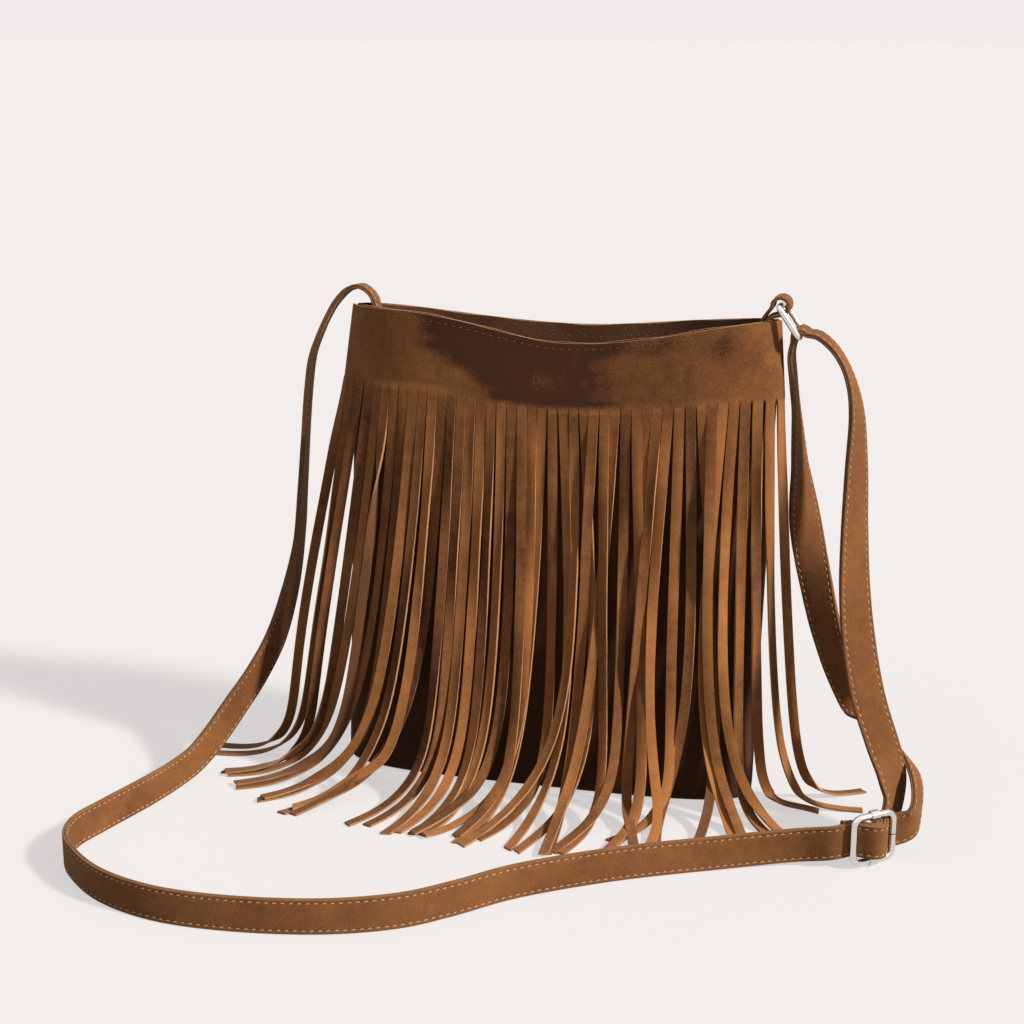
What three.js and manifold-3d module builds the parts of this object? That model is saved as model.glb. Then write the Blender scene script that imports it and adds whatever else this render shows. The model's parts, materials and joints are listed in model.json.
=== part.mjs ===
// Fringed suede shoulder bag: an open envelope body, a front panel cut into strands, and one long strap
// that runs from the left corner round a wire slider and through a ring on a tab at the right corner.
// Units are millimetres, +Z is up and the front of the bag faces -Y. The origin is on the floor, under the
// middle of the base.
import * as THREE from "three";
import { mergeVertices } from "three/addons/utils/BufferGeometryUtils.js";
import Module from "manifold-3d";

const wasm = await Module();
wasm.setup();

// ---- driving dimensions -------------------------------------------------------------------------------
const GAP = 0.3; // clearance between pieces that touch

const BODY_HEIGHT = 285; // lip height at the two corners
const BASE_HALF = 126; // half width of the body on the floor
const LIP_HALF = 125; // half width of the body at the lip
const BASE_CENTRE = 2; // the body slumps a little, so its middle moves to the right with height
const LIP_CENTRE = 11;
const BASE_DEPTH = 24; // half depth of the body on the floor
const BELLY_DEPTH = 28; // half depth at mid height
const LIP_DEPTH = 25; // half depth at the lip
const BASE_EDGE = 5; // rounding of the base's edge
const BASE_SEAM_BOW = 4; // the seam along the base bows towards the back in its middle
const BASE_SEAM_REACH = 0.96; // share of the base's length that the flat part of the seam covers

const SUEDE = 1.4; // body panels
const FACING = 1.2;
const FACING_DROP = 38; // depth of the facings below the lip
const LINING = 1.0;
const LINING_SEAM = 0.05; // how far the lining's two halves run into each other at the seam
const FRONT_SAG = 13.5; // the open lip sags between the corners
const BACK_SAG = 10;
const SAG_CENTRE = 25;
const SAG_REACH = 110;
const UNDER_LIP = 2; // the front body panel stops below the lip, between the yoke and the facing

const YOKE = 1.6; // thickness of the fringed panel
const YOKE_DROP = 47; // uncut depth of the fringed panel below the lip
const YOKE_END = 0.12; // plan angle at which the fringed panel stops, from the side seam
const STRANDS = 44;
const STRAND_SLIT = 0.5; // width lost to each cut
const STRAND_THICK = 1.3; // the strands are pulled a little thinner than the yoke
const STRAND_ROOT = 3; // how far a strand's solid runs up into the yoke
const STRAND_PILE = 0.2; // strands that cross on the floor lie at three slightly different heights
const STRAND_LENGTH = 292;
const HANG_CLEARANCE = 1.6; // strands hang this far in front of the body
const LEAN = 26; // a strand at the left end reaches the floor this far to the left of its root
const LEAN_END = 0.8; // the lean fades out over this share of the yoke, from its left end
const HANG_PLACES = [[200, 0, 0.15], [110, 1, 0.5], [35, 2, 0.9]]; // height, clearance, share of lean
const FOOT_AT = [20, 5]; // height and clearance of the plan outline that a strand's foot follows
const FOOT_HEIGHT = 9; // a strand starts to turn on to the floor here
const TURN_RUN = 12; // plan length of that turn
const TURN_LENGTH = 16; // length of strand that it takes
const HEADING = 8; // degrees to the left of straight forwards, of a strand on the floor
const LEFT_FAN = 76; // degrees that the strand at the left end turns further to the left
const LEFT_FAN_END = 0.22;
const RIGHT_FAN = 110; // degrees that the strand at the right end turns to the right
const RIGHT_FAN_START = 0.9;

const STRAP_WIDTH = 19;
const STRAP_THICK = 2.8; // two layers of suede sewn together
const STRAP_TAIL = 5; // the strap's end stands out past the slider's end bar

const RING_WIRE = 1.75; // wire radius of the ring
const RING_OPENING = 20; // clear width of the ring, for the strap
const RING_TOP = new THREE.Vector3(135.5, 0, 293); // axis of the ring's upper bar, held by the tab
const RING_FOOT = new THREE.Vector3(147, 0, 276.4); // axis of the ring's lower bar, under the strap
const RING_CORNER = 2.6;
const TAB_WIDTH = 15;
const TAB_THICK = 2.5;
const TAB_HOLE = 3.4; // inner radius of the tab's loop
const TAB_ROOT = 262; // lowest point of the tab, inside the mouth
const TAB_INNER_X = 124; // the tab's two legs lie together here
const TAB_LEGS = 4; // thickness of the two legs together
const TAB_SHOULDER = [8, 7]; // the legs part this far below the ring's upper bar, inside and outside

const SLIDER_WIRE = 2; // wire radius of the slider's frame
const SLIDER_BAR = 1.75; // wire radius of its centre bar
const SLIDER_LENGTH = 26; // between the axes of the two end bars, along the strap
const SLIDER_HEIGHT = 26; // between the axes of the two rails, across the strap
const SLIDER_CORNER = 4.5;
const SLIDER_BUTT = 0.5; // gap of the frame's butt joint
const CRIMP_WALL = 0.9; // the centre bar's ends are crimped round the rails
const CRIMP_LENGTH = 5;
const CRIMP_RIM = SLIDER_WIRE + GAP + CRIMP_WALL;
const SLIDER_AT = new THREE.Vector3(205, -78, SLIDER_HEIGHT / 2 + CRIMP_RIM + 0.1);
const SLIDER_TURN = THREE.MathUtils.degToRad(42); // the slider stands on edge, turned about Z

// ---- materials ----------------------------------------------------------------------------------------
const paint = (color, roughness, metalness = 0) =>
  new THREE.MeshStandardMaterial({ color, roughness, metalness });
const tan = paint(0x8a5a30, 0.95);
const brown = paint(0x3c2618, 0.95);
const cloth = paint(0x2a2320, 0.9);
const strapTan = paint(0x8c5e36, 0.85);
const nickel = paint(0xc9c8c4, 0.22, 1);

// ---- solids from rings and grids ----------------------------------------------------------------------
const UP = new THREE.Vector3(0, 0, 1);

function meshGeometry(points, triangles) {
  const geometry = new THREE.BufferGeometry();
  const position = new Float32Array(points.flatMap((p) => [p.x, p.y, p.z]));
  geometry.setAttribute("position", new THREE.BufferAttribute(position, 3));
  geometry.setIndex(triangles);
  return geometry;
}

// A closed solid through equal rings of points; it is capped at both ends unless it closes on itself.
function loft(rings, closed = false) {
  const sides = rings[0].length;
  const points = rings.flat();
  const triangles = [];
  const last = closed ? rings.length : rings.length - 1;
  for (let i = 0; i < last; i++) {
    const next = (i + 1) % rings.length;
    for (let j = 0; j < sides; j++) {
      const k = (j + 1) % sides;
      const [a, b] = [i * sides + j, i * sides + k];
      const [c, d] = [next * sides + k, next * sides + j];
      triangles.push(a, b, c, a, c, d);
    }
  }
  if (!closed) {
    const end = (rings.length - 1) * sides;
    for (let j = 1; j < sides - 1; j++) {
      triangles.push(0, j + 1, j, end, end + j, end + j + 1);
    }
  }
  return meshGeometry(points, triangles);
}

// A closed sheet between two surfaces, each a function of u (0..1) and v (0..1).
function slab(columns, rows, outer, inner) {
  const rings = [];
  for (let i = 0; i <= columns; i++) {
    const up = Array.from({ length: rows + 1 }, (_, j) => outer(i / columns, j / rows));
    const down = Array.from({ length: rows + 1 }, (_, j) => inner(i / columns, 1 - j / rows));
    rings.push([...up, ...down]);
  }
  const sides = 2 * (rows + 1);
  const geometry = loft(rings);
  const triangles = Array.from(geometry.index.array).slice(0, 6 * sides * columns);
  const end = columns * sides;
  for (let j = 0; j < rows; j++) {
    const [a, b, c, d] = [j, j + 1, sides - 2 - j, sides - 1 - j];
    triangles.push(a, d, c, a, c, b);
    triangles.push(end + a, end + c, end + d, end + a, end + b, end + c);
  }
  geometry.setIndex(triangles);
  return geometry;
}

function toSolid(geometry) {
  const bare = geometry.clone();
  bare.deleteAttribute("normal");
  bare.deleteAttribute("uv");
  const merged = mergeVertices(bare, 1e-4);
  const vertProperties = new Float32Array(merged.attributes.position.array);
  const triVerts = new Uint32Array(merged.index.array);
  const solid = new wasm.Manifold(new wasm.Mesh({ numProp: 3, vertProperties, triVerts }));
  return solid.volume() < 0 ? toSolid(flipped(geometry)) : solid;
}

function flipped(geometry) {
  const copy = geometry.clone();
  const index = copy.index.array;
  for (let i = 0; i < index.length; i += 3) {
    [index[i], index[i + 1]] = [index[i + 1], index[i]];
  }
  return copy;
}

function fromSolid(solid) {
  const mesh = solid.getMesh();
  const geometry = new THREE.BufferGeometry();
  geometry.setAttribute("position", new THREE.BufferAttribute(mesh.vertProperties, 3));
  geometry.setIndex(new THREE.BufferAttribute(mesh.triVerts, 1));
  return geometry;
}

const outward = (geometry) => fromSolid(toSolid(geometry));
const joined = (geometries) => fromSolid(wasm.Manifold.union(geometries.map(toSolid)));

const group = new THREE.Group();
function add(name, geometry, material) {
  geometry.computeVertexNormals();
  const mesh = new THREE.Mesh(geometry, material);
  mesh.name = name;
  group.add(mesh);
  return mesh;
}

// ---- the body's surfaces ------------------------------------------------------------------------------
const { lerp } = THREE.MathUtils;
const rise = (z) => Math.min(z / BODY_HEIGHT, 1);
const centreX = (z) => lerp(BASE_CENTRE, LIP_CENTRE, rise(z));
const halfWidth = (z) => lerp(BASE_HALF, LIP_HALF, rise(z));
const halfDepth = (z) =>
  lerp(BASE_DEPTH, LIP_DEPTH, rise(z)) +
  (BELLY_DEPTH - (BASE_DEPTH + LIP_DEPTH) / 2) * Math.sin(Math.PI * rise(z));

// A point of the plan outline, a blunt oval, at a height: angle 0 is the right seam, PI the left one, and
// side is -1 at the front and +1 at the back. Inset moves it inwards; seam is half the gap at the seams.
function onOutline(angle, z, inset, side, seam) {
  const c = Math.cos(angle);
  const bulge = Math.sin(angle) * Math.sqrt(1 + c * c);
  const y = side * (seam + (halfDepth(z) - inset - seam) * bulge);
  return new THREE.Vector3(centreX(z) + c * (halfWidth(z) - inset), y, z);
}

function lipHeight(x, side) {
  const t = Math.min(Math.abs((x - SAG_CENTRE) / SAG_REACH), 1);
  const sag = side < 0 ? FRONT_SAG : BACK_SAG;
  return BODY_HEIGHT - sag * Math.cos((Math.PI / 2) * t) ** 2;
}

// A wall between two heights; low and high are functions of x.
function wall(side, inset, thick, low, high, from, to, columns, rows, seam) {
  const surface = (depth) => (u, v) => {
    const angle = lerp(from, to, u);
    const x = onOutline(angle, BODY_HEIGHT, depth, side, seam).x;
    const z = lerp(low(x), high(x), v);
    return onOutline(angle, z, depth, side, seam);
  };
  return slab(columns, rows, surface(inset), surface(inset + thick));
}

// A half of the body from the base seam up to a height: the base, its rounded edge and the wall.
const BASE_ROWS = 2;
const EDGE_ROWS = 3;
function halfShell(side, inset, thick, high, seam, columns, wallRows) {
  const surface = (depth, lift) => {
    const steps = BASE_ROWS + EDGE_ROWS + wallRows;
    return (u, v) => {
      const angle = Math.PI * u;
      const step = Math.round(v * steps);
      if (step <= BASE_ROWS) {
        const rim = onOutline(angle, 0, depth + BASE_EDGE, side, seam);
        const k = step / BASE_ROWS;
        const middle = BASE_SEAM_BOW * Math.sin(angle) + side * seam;
        const x = lerp(lerp(centreX(0), rim.x, BASE_SEAM_REACH), rim.x, k);
        return new THREE.Vector3(x, lerp(middle, rim.y, k), lift);
      }
      if (step <= BASE_ROWS + EDGE_ROWS) {
        const turn = ((Math.PI / 2) * (step - BASE_ROWS)) / EDGE_ROWS;
        const p = onOutline(angle, 0, depth + BASE_EDGE * (1 - Math.sin(turn)), side, seam);
        return p.setZ(lift + BASE_EDGE * (1 - Math.cos(turn)));
      }
      const x = onOutline(angle, BODY_HEIGHT, depth, side, seam).x;
      const k = (step - BASE_ROWS - EDGE_ROWS) / wallRows;
      return onOutline(angle, lerp(BASE_EDGE + lift, high(x), k), depth, side, seam);
    };
  };
  const rows = BASE_ROWS + EDGE_ROWS + wallRows;
  return slab(columns, rows, surface(inset, inset), surface(inset + thick, inset + thick));
}

const frontLip = (x) => lipHeight(x, -1);
const backLip = (x) => lipHeight(x, 1);

const bodyFront = halfShell(-1, 0, SUEDE, (x) => frontLip(x) - UNDER_LIP, GAP / 2, 20, 5);
add("body_front", outward(bodyFront), brown);
const bodyBack = halfShell(1, 0, SUEDE, backLip, GAP / 2, 20, 5);
add("body_back", outward(bodyBack), brown);

for (const [name, side, lip] of [["facing_front", -1, frontLip], ["facing_back", 1, backLip]]) {
  const low = (x) => lip(x) - FACING_DROP;
  const strip = wall(side, SUEDE + GAP, FACING, low, lip, 0, Math.PI, 20, 1, GAP / 2);
  add(name, outward(strip), brown);
}

const LINING_TOP = BODY_HEIGHT - FRONT_SAG - FACING_DROP - UNDER_LIP;
const liningHalf = (side) =>
  halfShell(side, SUEDE + GAP, LINING, () => LINING_TOP, -LINING_SEAM, 18, 3);
add("lining", joined([liningHalf(-1), liningHalf(1)]), cloth);

// ---- the fringed panel --------------------------------------------------------------------------------
// Each strand hangs from the yoke, leans a little to the left, turns on the floor and runs out forwards.
// The strands at the left end fan out to the side, and those at the right end turn to the right.
const slitHeight = (x) => frontLip(x) - YOKE_DROP;

function ribbon(centres, acrosses, width, thick) {
  return loft(
    centres.map((p, i) => {
      const before = centres[Math.max(i - 1, 0)];
      const after = centres[Math.min(i + 1, centres.length - 1)];
      const along = after.clone().sub(before).normalize();
      const across = acrosses[i].clone().addScaledVector(along, -acrosses[i].dot(along));
      across.normalize();
      const out = new THREE.Vector3().crossVectors(across, along);
      const corner = (a, b) =>
        p.clone().addScaledVector(across, (a * width) / 2).addScaledVector(out, (b * thick) / 2);
      return [corner(-1, -1), corner(1, -1), corner(1, 1), corner(-1, 1)];
    })
  );
}

// Plan angles that divide the yoke's lower edge into equal strands, from the left end to the right end.
const EDGE_SAMPLES = 400;
const NUDGE = 0.02; // a small step of plan angle, for the outline's direction
const yokeLow = BODY_HEIGHT - YOKE_DROP;
const edgeAngles = Array.from({ length: EDGE_SAMPLES + 1 }, (_, i) =>
  lerp(Math.PI - YOKE_END, YOKE_END, i / EDGE_SAMPLES)
);
const edgePoints = edgeAngles.map((angle) => onOutline(angle, yokeLow, -GAP, -1, 0));
const edgeLengths = edgePoints.reduce(
  (sums, p, i) => [...sums, i ? sums[i - 1] + p.distanceTo(edgePoints[i - 1]) : 0], []
);
const EDGE_LENGTH = edgeLengths[EDGE_SAMPLES];
const angleAt = (share) => edgeAngles[edgeLengths.findIndex((d) => d >= share * EDGE_LENGTH)];

function strand(index) {
  const t = (index + 0.5) / STRANDS;
  const angle = angleAt(t);
  const lean = -LEAN * Math.max(1 - t / LEAN_END, 0);
  const hang = (z, offset, share) => {
    const p = onOutline(angle, z, -offset, -1, 0);
    return p.setX(p.x + lean * share);
  };
  const left = Math.max(1 - t / LEFT_FAN_END, 0);
  const right = Math.max((t - RIGHT_FAN_START) / (1 - RIGHT_FAN_START), 0);
  const heading = THREE.MathUtils.degToRad(HEADING + LEFT_FAN * left - RIGHT_FAN * right);
  const run = new THREE.Vector3(-Math.sin(heading), -Math.cos(heading), 0);

  const root = onOutline(angle, yokeLow, 0, -1, 0);
  const top = slitHeight(root.x) + STRAND_ROOT;
  const clear = STRAND_THICK / 2 + HANG_CLEARANCE;
  const floor = STRAND_THICK / 2 + STRAND_PILE * (index % 3);
  const foot = hang(FOOT_AT[0], clear + FOOT_AT[1], 1).setZ(FOOT_HEIGHT);
  const landed = foot.clone().addScaledVector(run, TURN_RUN).setZ(floor);
  const floorRun = STRAND_LENGTH - (top - FOOT_HEIGHT) - TURN_LENGTH;
  const places = [
    hang(top, YOKE / 2 + GAP, 0),
    ...HANG_PLACES.map(([z, out, share]) => hang(z, clear + out, share)),
    foot,
    landed,
    landed.clone().addScaledVector(run, floorRun / 2),
    landed.clone().addScaledVector(run, floorRun),
  ];

  // The strand's width turns from along the yoke to square across its run on the floor.
  const alongYoke = onOutline(angle - NUDGE, yokeLow, 0, -1, 0).sub(root).normalize();
  const acrossRun = new THREE.Vector3(-run.y, run.x, 0);
  const hanging = HANG_PLACES.length;
  const acrosses = places.map((_, i) =>
    alongYoke.clone().lerp(acrossRun, Math.max(i - hanging, 0) / (places.length - 1 - hanging))
  );
  return ribbon(places, acrosses, EDGE_LENGTH / STRANDS - STRAND_SLIT, STRAND_THICK);
}

const yoke = wall(
  -1, -GAP - YOKE, YOKE, slitHeight, frontLip, YOKE_END, Math.PI - YOKE_END, 22, 2, 0
);
const strands = Array.from({ length: STRANDS }, (_, i) => strand(i));
add("fringe_panel", joined([yoke, ...strands]), tan);

// ---- strap --------------------------------------------------------------------------------------------
// The slider's own axes: along the strap, across it (up) and out of the slider's face.
const sliderAlong = new THREE.Vector3(Math.cos(SLIDER_TURN), Math.sin(SLIDER_TURN), 0);
const sliderOut = new THREE.Vector3(Math.sin(SLIDER_TURN), -Math.cos(SLIDER_TURN), 0);
const inSlider = (along, out, up = 0) =>
  SLIDER_AT.clone()
    .addScaledVector(sliderAlong, along)
    .addScaledVector(sliderOut, out)
    .addScaledVector(UP, up);

// The strap weaves behind an end bar, over the centre bar and behind the other end bar. Its middle line
// is three arcs with straight lines between them; overCentre and behindEnd are the arcs' radii.
function weave(overCentre, behindEnd, steps) {
  const half = SLIDER_LENGTH / 2;
  const slope = Math.asin((overCentre + behindEnd) / half);
  const places = [];
  for (let i = 0; i <= steps; i++) {
    const a = (slope * i) / steps;
    places.push([-half + behindEnd * Math.sin(a), -behindEnd * Math.cos(a)]);
  }
  for (let i = 0; i <= 2 * steps; i++) {
    const a = slope - (slope * i) / steps;
    places.push([-overCentre * Math.sin(a), overCentre * Math.cos(a)]);
  }
  for (let i = 0; i <= steps; i++) {
    const a = slope - (slope * i) / steps;
    places.push([half - behindEnd * Math.sin(a), -behindEnd * Math.cos(a)]);
  }
  return places.map(([along, out]) => inSlider(along, out));
}

const LAYER = STRAP_THICK + GAP;
const FIRST_OVER = SLIDER_BAR + GAP + STRAP_THICK / 2;
const FIRST_BEHIND = SLIDER_WIRE + GAP + STRAP_THICK / 2;

// Route of the strap, each place with the direction of its upper or outer edge.
const LEFT_AND_FRONT = [
  [-101, 0, 262, 0.2, -1, 0],
  [-101, 0, 280, 0.2, -1, 0],
  [-104, 0, 290, 0.2, -1, 0.1],
  [-111, 0.5, 294.5, 0.2, -1, 0.1],
  [-119, 1, 292.5, 0.2, -1, 0.1],
  [-126, 1, 286, 0.2, -0.98, 0.1],
  [-132, 1, 277, 0.2, -0.98, 0],
  [-138, 1, 265, 0.2, -0.98, 0],
  [-143, 1, 252, 0.2, -0.98, 0],
  [-146, 1, 234, 0.2, -0.98, 0],
  [-149, 1, 204, 0.2, -0.98, 0],
  [-152, 1, 170, 0.15, -0.98, 0],
  [-155, 0, 137, 0.1, -0.98, 0.1],
  [-160, -5, 106, -0.1, -0.9, 0.3],
  [-167, -14, 77, -0.25, -0.85, 0.45],
  [-176, -24, 56, -0.3, -0.75, 0.6],
  [-186, -36, 38, -0.3, -0.6, 0.75],
  [-195, -49, 22, -0.2, -0.4, 0.9],
  [-201, -62, 13, -0.1, -0.2, 0.98],
  [-205, -78, 10, 0, 0, 1],
  [-210, -108, 9.8, 0, 0, 1],
  [-219, -146, 9.8, 0, 0, 1],
  [-224, -172, 9.8, 0, 0, 1],
  [-219, -192, 9.8, 0, 0, 1],
  [-203, -211, 9.8, 0, 0, 1],
  [-178, -229, 9.8, 0, 0, 1],
  [-143, -240, 9.8, 0, 0, 1],
  [-100, -240, 9.8, 0, 0, 1],
  [-52, -230, 9.8, 0, 0, 1],
  [-19, -214, 9.8, 0, 0, 1],
  [2, -195, 9.8, 0, 0, 1],
  [27, -168, 9.8, 0, 0, 1],
  [73, -134, 9.8, 0, 0, 1],
  [124, -106, 10, 0, 0, 1],
  [165, -89, 12, 0, 0, 1],
  [184, -88, 15, 0, 0, 1],
];
const UP_BEHIND = [
  [224, -61, 20, -0.25, 0, 1],
  [226, -50, 31, -0.6, 0.1, 0.7],
  [222, -37, 42, -0.7, 0.3, 0.5],
  [211, -24, 50, -0.75, 0.2, 0.6],
  [195, -13, 61, -0.8, 0.2, 0.5],
  [180, -5, 78, -0.9, 0.2, 0.3],
  [169, -1, 104, -0.95, 0.15, 0.1],
  [160, 3, 136, -0.9, -0.2, 0],
  [153.5, 5, 165, -0.7, -0.6, 0],
  [148.5, 6, 200, -0.3, -0.95, 0],
  [145, 5, 235, 0, -1, 0],
  [143, 3, 253, 0, -1, 0],
  [142, 1, 266, 0, -1, 0],
];
const DOWN_IN_FRONT = [
  [157, -1, 277, 0, -1, 0],
  [165, -2, 271, 0, -1, 0],
  [172, -4, 261.5, 0, -1, 0],
  [177, -6, 249.5, -0.1, -1, 0],
  [180, -8, 235, -0.25, -0.95, 0],
  [181.5, -12, 205, -0.5, -0.85, 0],
  [182.5, -17, 171, -0.65, -0.75, 0],
  [184.5, -22, 139, -0.8, -0.6, 0],
  [188.5, -29, 112, -0.9, -0.4, 0],
  [196, -38, 82, -0.95, -0.3, 0],
  [205, -46, 60, -0.95, -0.2, 0.2],
  [213, -51, 41, -0.9, -0.2, 0.4],
  [217, -54, 27, -0.6, -0.1, 0.8],
];
// The strap bends over the ring's lower bar, from its left side to its right side.
const OVER_STEPS = 8;
const OVER_FROM = 200; // degrees round the bar, from its right side
const OVER_TO = 30;
const overRing = Array.from({ length: OVER_STEPS + 1 }, (_, i) => {
  const angle = THREE.MathUtils.degToRad(lerp(OVER_FROM, OVER_TO, i / OVER_STEPS));
  const radius = RING_WIRE + STRAP_THICK / 2 + 2 * GAP;
  const x = RING_FOOT.x + radius * Math.cos(angle);
  return [new THREE.Vector3(x, 0, RING_FOOT.z + radius * Math.sin(angle)), new THREE.Vector3(0, -1, 0)];
});

const placed = (route) =>
  route.map(([x, y, z, a, b, c]) => [new THREE.Vector3(x, y, z), new THREE.Vector3(a, b, c)]);
const upright = (places) => places.map((p) => [p, UP]);
const frontWeave = weave(FIRST_OVER + LAYER, FIRST_BEHIND, 3);
const backWeave = weave(FIRST_OVER, FIRST_BEHIND + LAYER, 3).reverse();
const strapPlaces = [
  ...placed(LEFT_AND_FRONT),
  ...upright(frontWeave),
  ...placed(UP_BEHIND),
  ...overRing,
  ...placed(DOWN_IN_FRONT),
  ...upright(backWeave),
  [inSlider(-SLIDER_LENGTH / 2 - STRAP_TAIL, -FIRST_BEHIND - LAYER, 1), UP],
];
const strapGeometry = ribbon(
  strapPlaces.map(([p]) => p), strapPlaces.map(([, edge]) => edge), STRAP_WIDTH, STRAP_THICK
);
add("strap", outward(strapGeometry), strapTan);

// ---- wire hardware ------------------------------------------------------------------------------------
const WIRE_SIDES = 10;

// Points round a rounded rectangle in its own plane, from the middle of its right side.
function roundedRectangle(width, height, corner) {
  const [a, b] = [width / 2, height / 2];
  const places = [new THREE.Vector2(a, 0)];
  const turns = 5;
  for (const [cx, cy, start] of [[a, b, 0], [-a, b, 1], [-a, -b, 2], [a, -b, 3]]) {
    for (let i = 0; i <= turns; i++) {
      const angle = (Math.PI / 2) * (start + i / turns);
      const x = cx - Math.sign(cx) * corner + corner * Math.cos(angle);
      const y = cy - Math.sign(cy) * corner + corner * Math.sin(angle);
      places.push(new THREE.Vector2(x, y));
    }
  }
  return places;
}

// A wire along a flat path. toWorld maps the path's plane, and faceOut is the plane's normal.
function wire(path, closed, radius, toWorld, faceOut) {
  const places = path.map((p) => toWorld(p.x, p.y));
  const count = places.length;
  const rings = places.map((p, i) => {
    const before = closed ? places[(i + count - 1) % count] : places[Math.max(i - 1, 0)];
    const after = closed ? places[(i + 1) % count] : places[Math.min(i + 1, count - 1)];
    const along = after.clone().sub(before).normalize();
    const inPlane = new THREE.Vector3().crossVectors(faceOut, along);
    return Array.from({ length: WIRE_SIDES }, (_, j) => {
      const angle = (2 * Math.PI * (j + 0.5)) / WIRE_SIDES;
      return p
        .clone()
        .addScaledVector(inPlane, radius * Math.cos(angle))
        .addScaledVector(faceOut, radius * Math.sin(angle));
    });
  });
  return loft(rings, closed);
}

const ringDown = RING_FOOT.clone().sub(RING_TOP).normalize();
const ringMiddle = RING_FOOT.clone().add(RING_TOP).multiplyScalar(0.5);
const ringAcross = new THREE.Vector3(0, 1, 0);
const ringPath = roundedRectangle(
  RING_OPENING + 2 * RING_WIRE, RING_FOOT.distanceTo(RING_TOP), RING_CORNER
);
const ringWire = wire(
  ringPath, true, RING_WIRE,
  (a, b) => ringMiddle.clone().addScaledVector(ringAcross, a).addScaledVector(ringDown, b),
  new THREE.Vector3().crossVectors(ringAcross, ringDown)
);
add("ring", outward(ringWire), nickel);

const framePath = roundedRectangle(SLIDER_LENGTH, SLIDER_HEIGHT, SLIDER_CORNER);
framePath[0] = new THREE.Vector2(SLIDER_LENGTH / 2, SLIDER_BUTT / 2);
framePath.push(new THREE.Vector2(SLIDER_LENGTH / 2, -SLIDER_BUTT / 2));
const frameWire = wire(
  framePath, false, SLIDER_WIRE, (along, up) => inSlider(along, 0, up), sliderOut.clone().negate()
);
add("slider_frame", outward(frameWire), nickel);

// The centre bar is a wire with a sleeve round each rail.
function crimp(up) {
  const hole = SLIDER_WIRE + GAP;
  const half = CRIMP_LENGTH / 2;
  const profile = [
    [hole, -half], [CRIMP_RIM, -half], [CRIMP_RIM, half], [hole, half], [hole, -half],
  ];
  const sleeve = new THREE.LatheGeometry(profile.map(([r, y]) => new THREE.Vector2(r, y)), 16);
  const turn = new THREE.Quaternion().setFromUnitVectors(new THREE.Vector3(0, 1, 0), sliderAlong);
  const place = new THREE.Matrix4().compose(inSlider(0, 0, up), turn, new THREE.Vector3(1, 1, 1));
  return sleeve.applyMatrix4(place);
}

const barReach = SLIDER_HEIGHT / 2 - SLIDER_WIRE - GAP - CRIMP_WALL / 2;
const bar = new THREE.CylinderGeometry(SLIDER_BAR, SLIDER_BAR, 2 * barReach, 12);
bar.rotateX(Math.PI / 2).translate(SLIDER_AT.x, SLIDER_AT.y, SLIDER_AT.z);
add("slider_bar", joined([bar, crimp(SLIDER_HEIGHT / 2), crimp(-SLIDER_HEIGHT / 2)]), nickel);

// ---- ring tab -----------------------------------------------------------------------------------------
// A strip folded over the ring's upper bar; its two legs go down together inside the mouth.
const loopRim = TAB_HOLE + TAB_THICK;
const tabShape = new THREE.Shape();
tabShape.moveTo(TAB_INNER_X, TAB_ROOT);
tabShape.lineTo(TAB_INNER_X, RING_TOP.z - TAB_SHOULDER[0]);
tabShape.lineTo(RING_TOP.x - loopRim, RING_TOP.z);
tabShape.absarc(RING_TOP.x, RING_TOP.z, loopRim, Math.PI, -Math.PI / 2, true);
tabShape.lineTo(TAB_INNER_X + TAB_LEGS, RING_TOP.z - TAB_SHOULDER[1]);
tabShape.lineTo(TAB_INNER_X + TAB_LEGS, TAB_ROOT);
tabShape.closePath();
const loopHole = new THREE.Path();
loopHole.absarc(RING_TOP.x, RING_TOP.z, TAB_HOLE, 0, 2 * Math.PI, false);
tabShape.holes.push(loopHole);
const tab = new THREE.ExtrudeGeometry(tabShape, {
  depth: TAB_WIDTH, bevelEnabled: false, curveSegments: 10, steps: 1,
});
tab.rotateX(Math.PI / 2).translate(0, TAB_WIDTH / 2, 0);
add("ring_tab", outward(tab), brown);

export default group;
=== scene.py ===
"""Fringed suede shoulder bag: a sagging body, a cut fringe, one looped strap and its wire hardware."""
import json
import math
import random

import bmesh
import bpy
import numpy as np
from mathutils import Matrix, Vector


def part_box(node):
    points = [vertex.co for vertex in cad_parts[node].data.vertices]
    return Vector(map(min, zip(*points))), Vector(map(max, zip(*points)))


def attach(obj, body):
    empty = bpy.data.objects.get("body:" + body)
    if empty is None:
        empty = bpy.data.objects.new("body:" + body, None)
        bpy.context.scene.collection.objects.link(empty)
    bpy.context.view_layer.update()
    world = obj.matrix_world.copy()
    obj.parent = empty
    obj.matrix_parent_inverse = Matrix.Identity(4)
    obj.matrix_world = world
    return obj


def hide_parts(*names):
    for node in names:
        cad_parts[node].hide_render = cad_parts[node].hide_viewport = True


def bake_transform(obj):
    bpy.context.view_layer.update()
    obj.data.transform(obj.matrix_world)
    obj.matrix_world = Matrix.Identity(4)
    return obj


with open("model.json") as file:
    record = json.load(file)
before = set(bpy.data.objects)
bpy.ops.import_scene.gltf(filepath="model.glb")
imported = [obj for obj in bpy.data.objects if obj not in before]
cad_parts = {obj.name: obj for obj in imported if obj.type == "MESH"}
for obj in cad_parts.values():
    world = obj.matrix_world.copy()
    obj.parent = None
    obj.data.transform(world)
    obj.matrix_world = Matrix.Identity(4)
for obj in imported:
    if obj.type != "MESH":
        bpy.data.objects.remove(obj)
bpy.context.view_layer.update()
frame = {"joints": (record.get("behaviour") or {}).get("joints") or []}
scene = bpy.context.scene
random.seed(7)
MM = 0.001

# ---- camera
CAMERA_AT = (0.2594, -1.0232, 0.4411)
CAMERA_YAW = math.radians(15.24)
CAMERA_DOWN = math.radians(14.65)
LENS = 65

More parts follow.
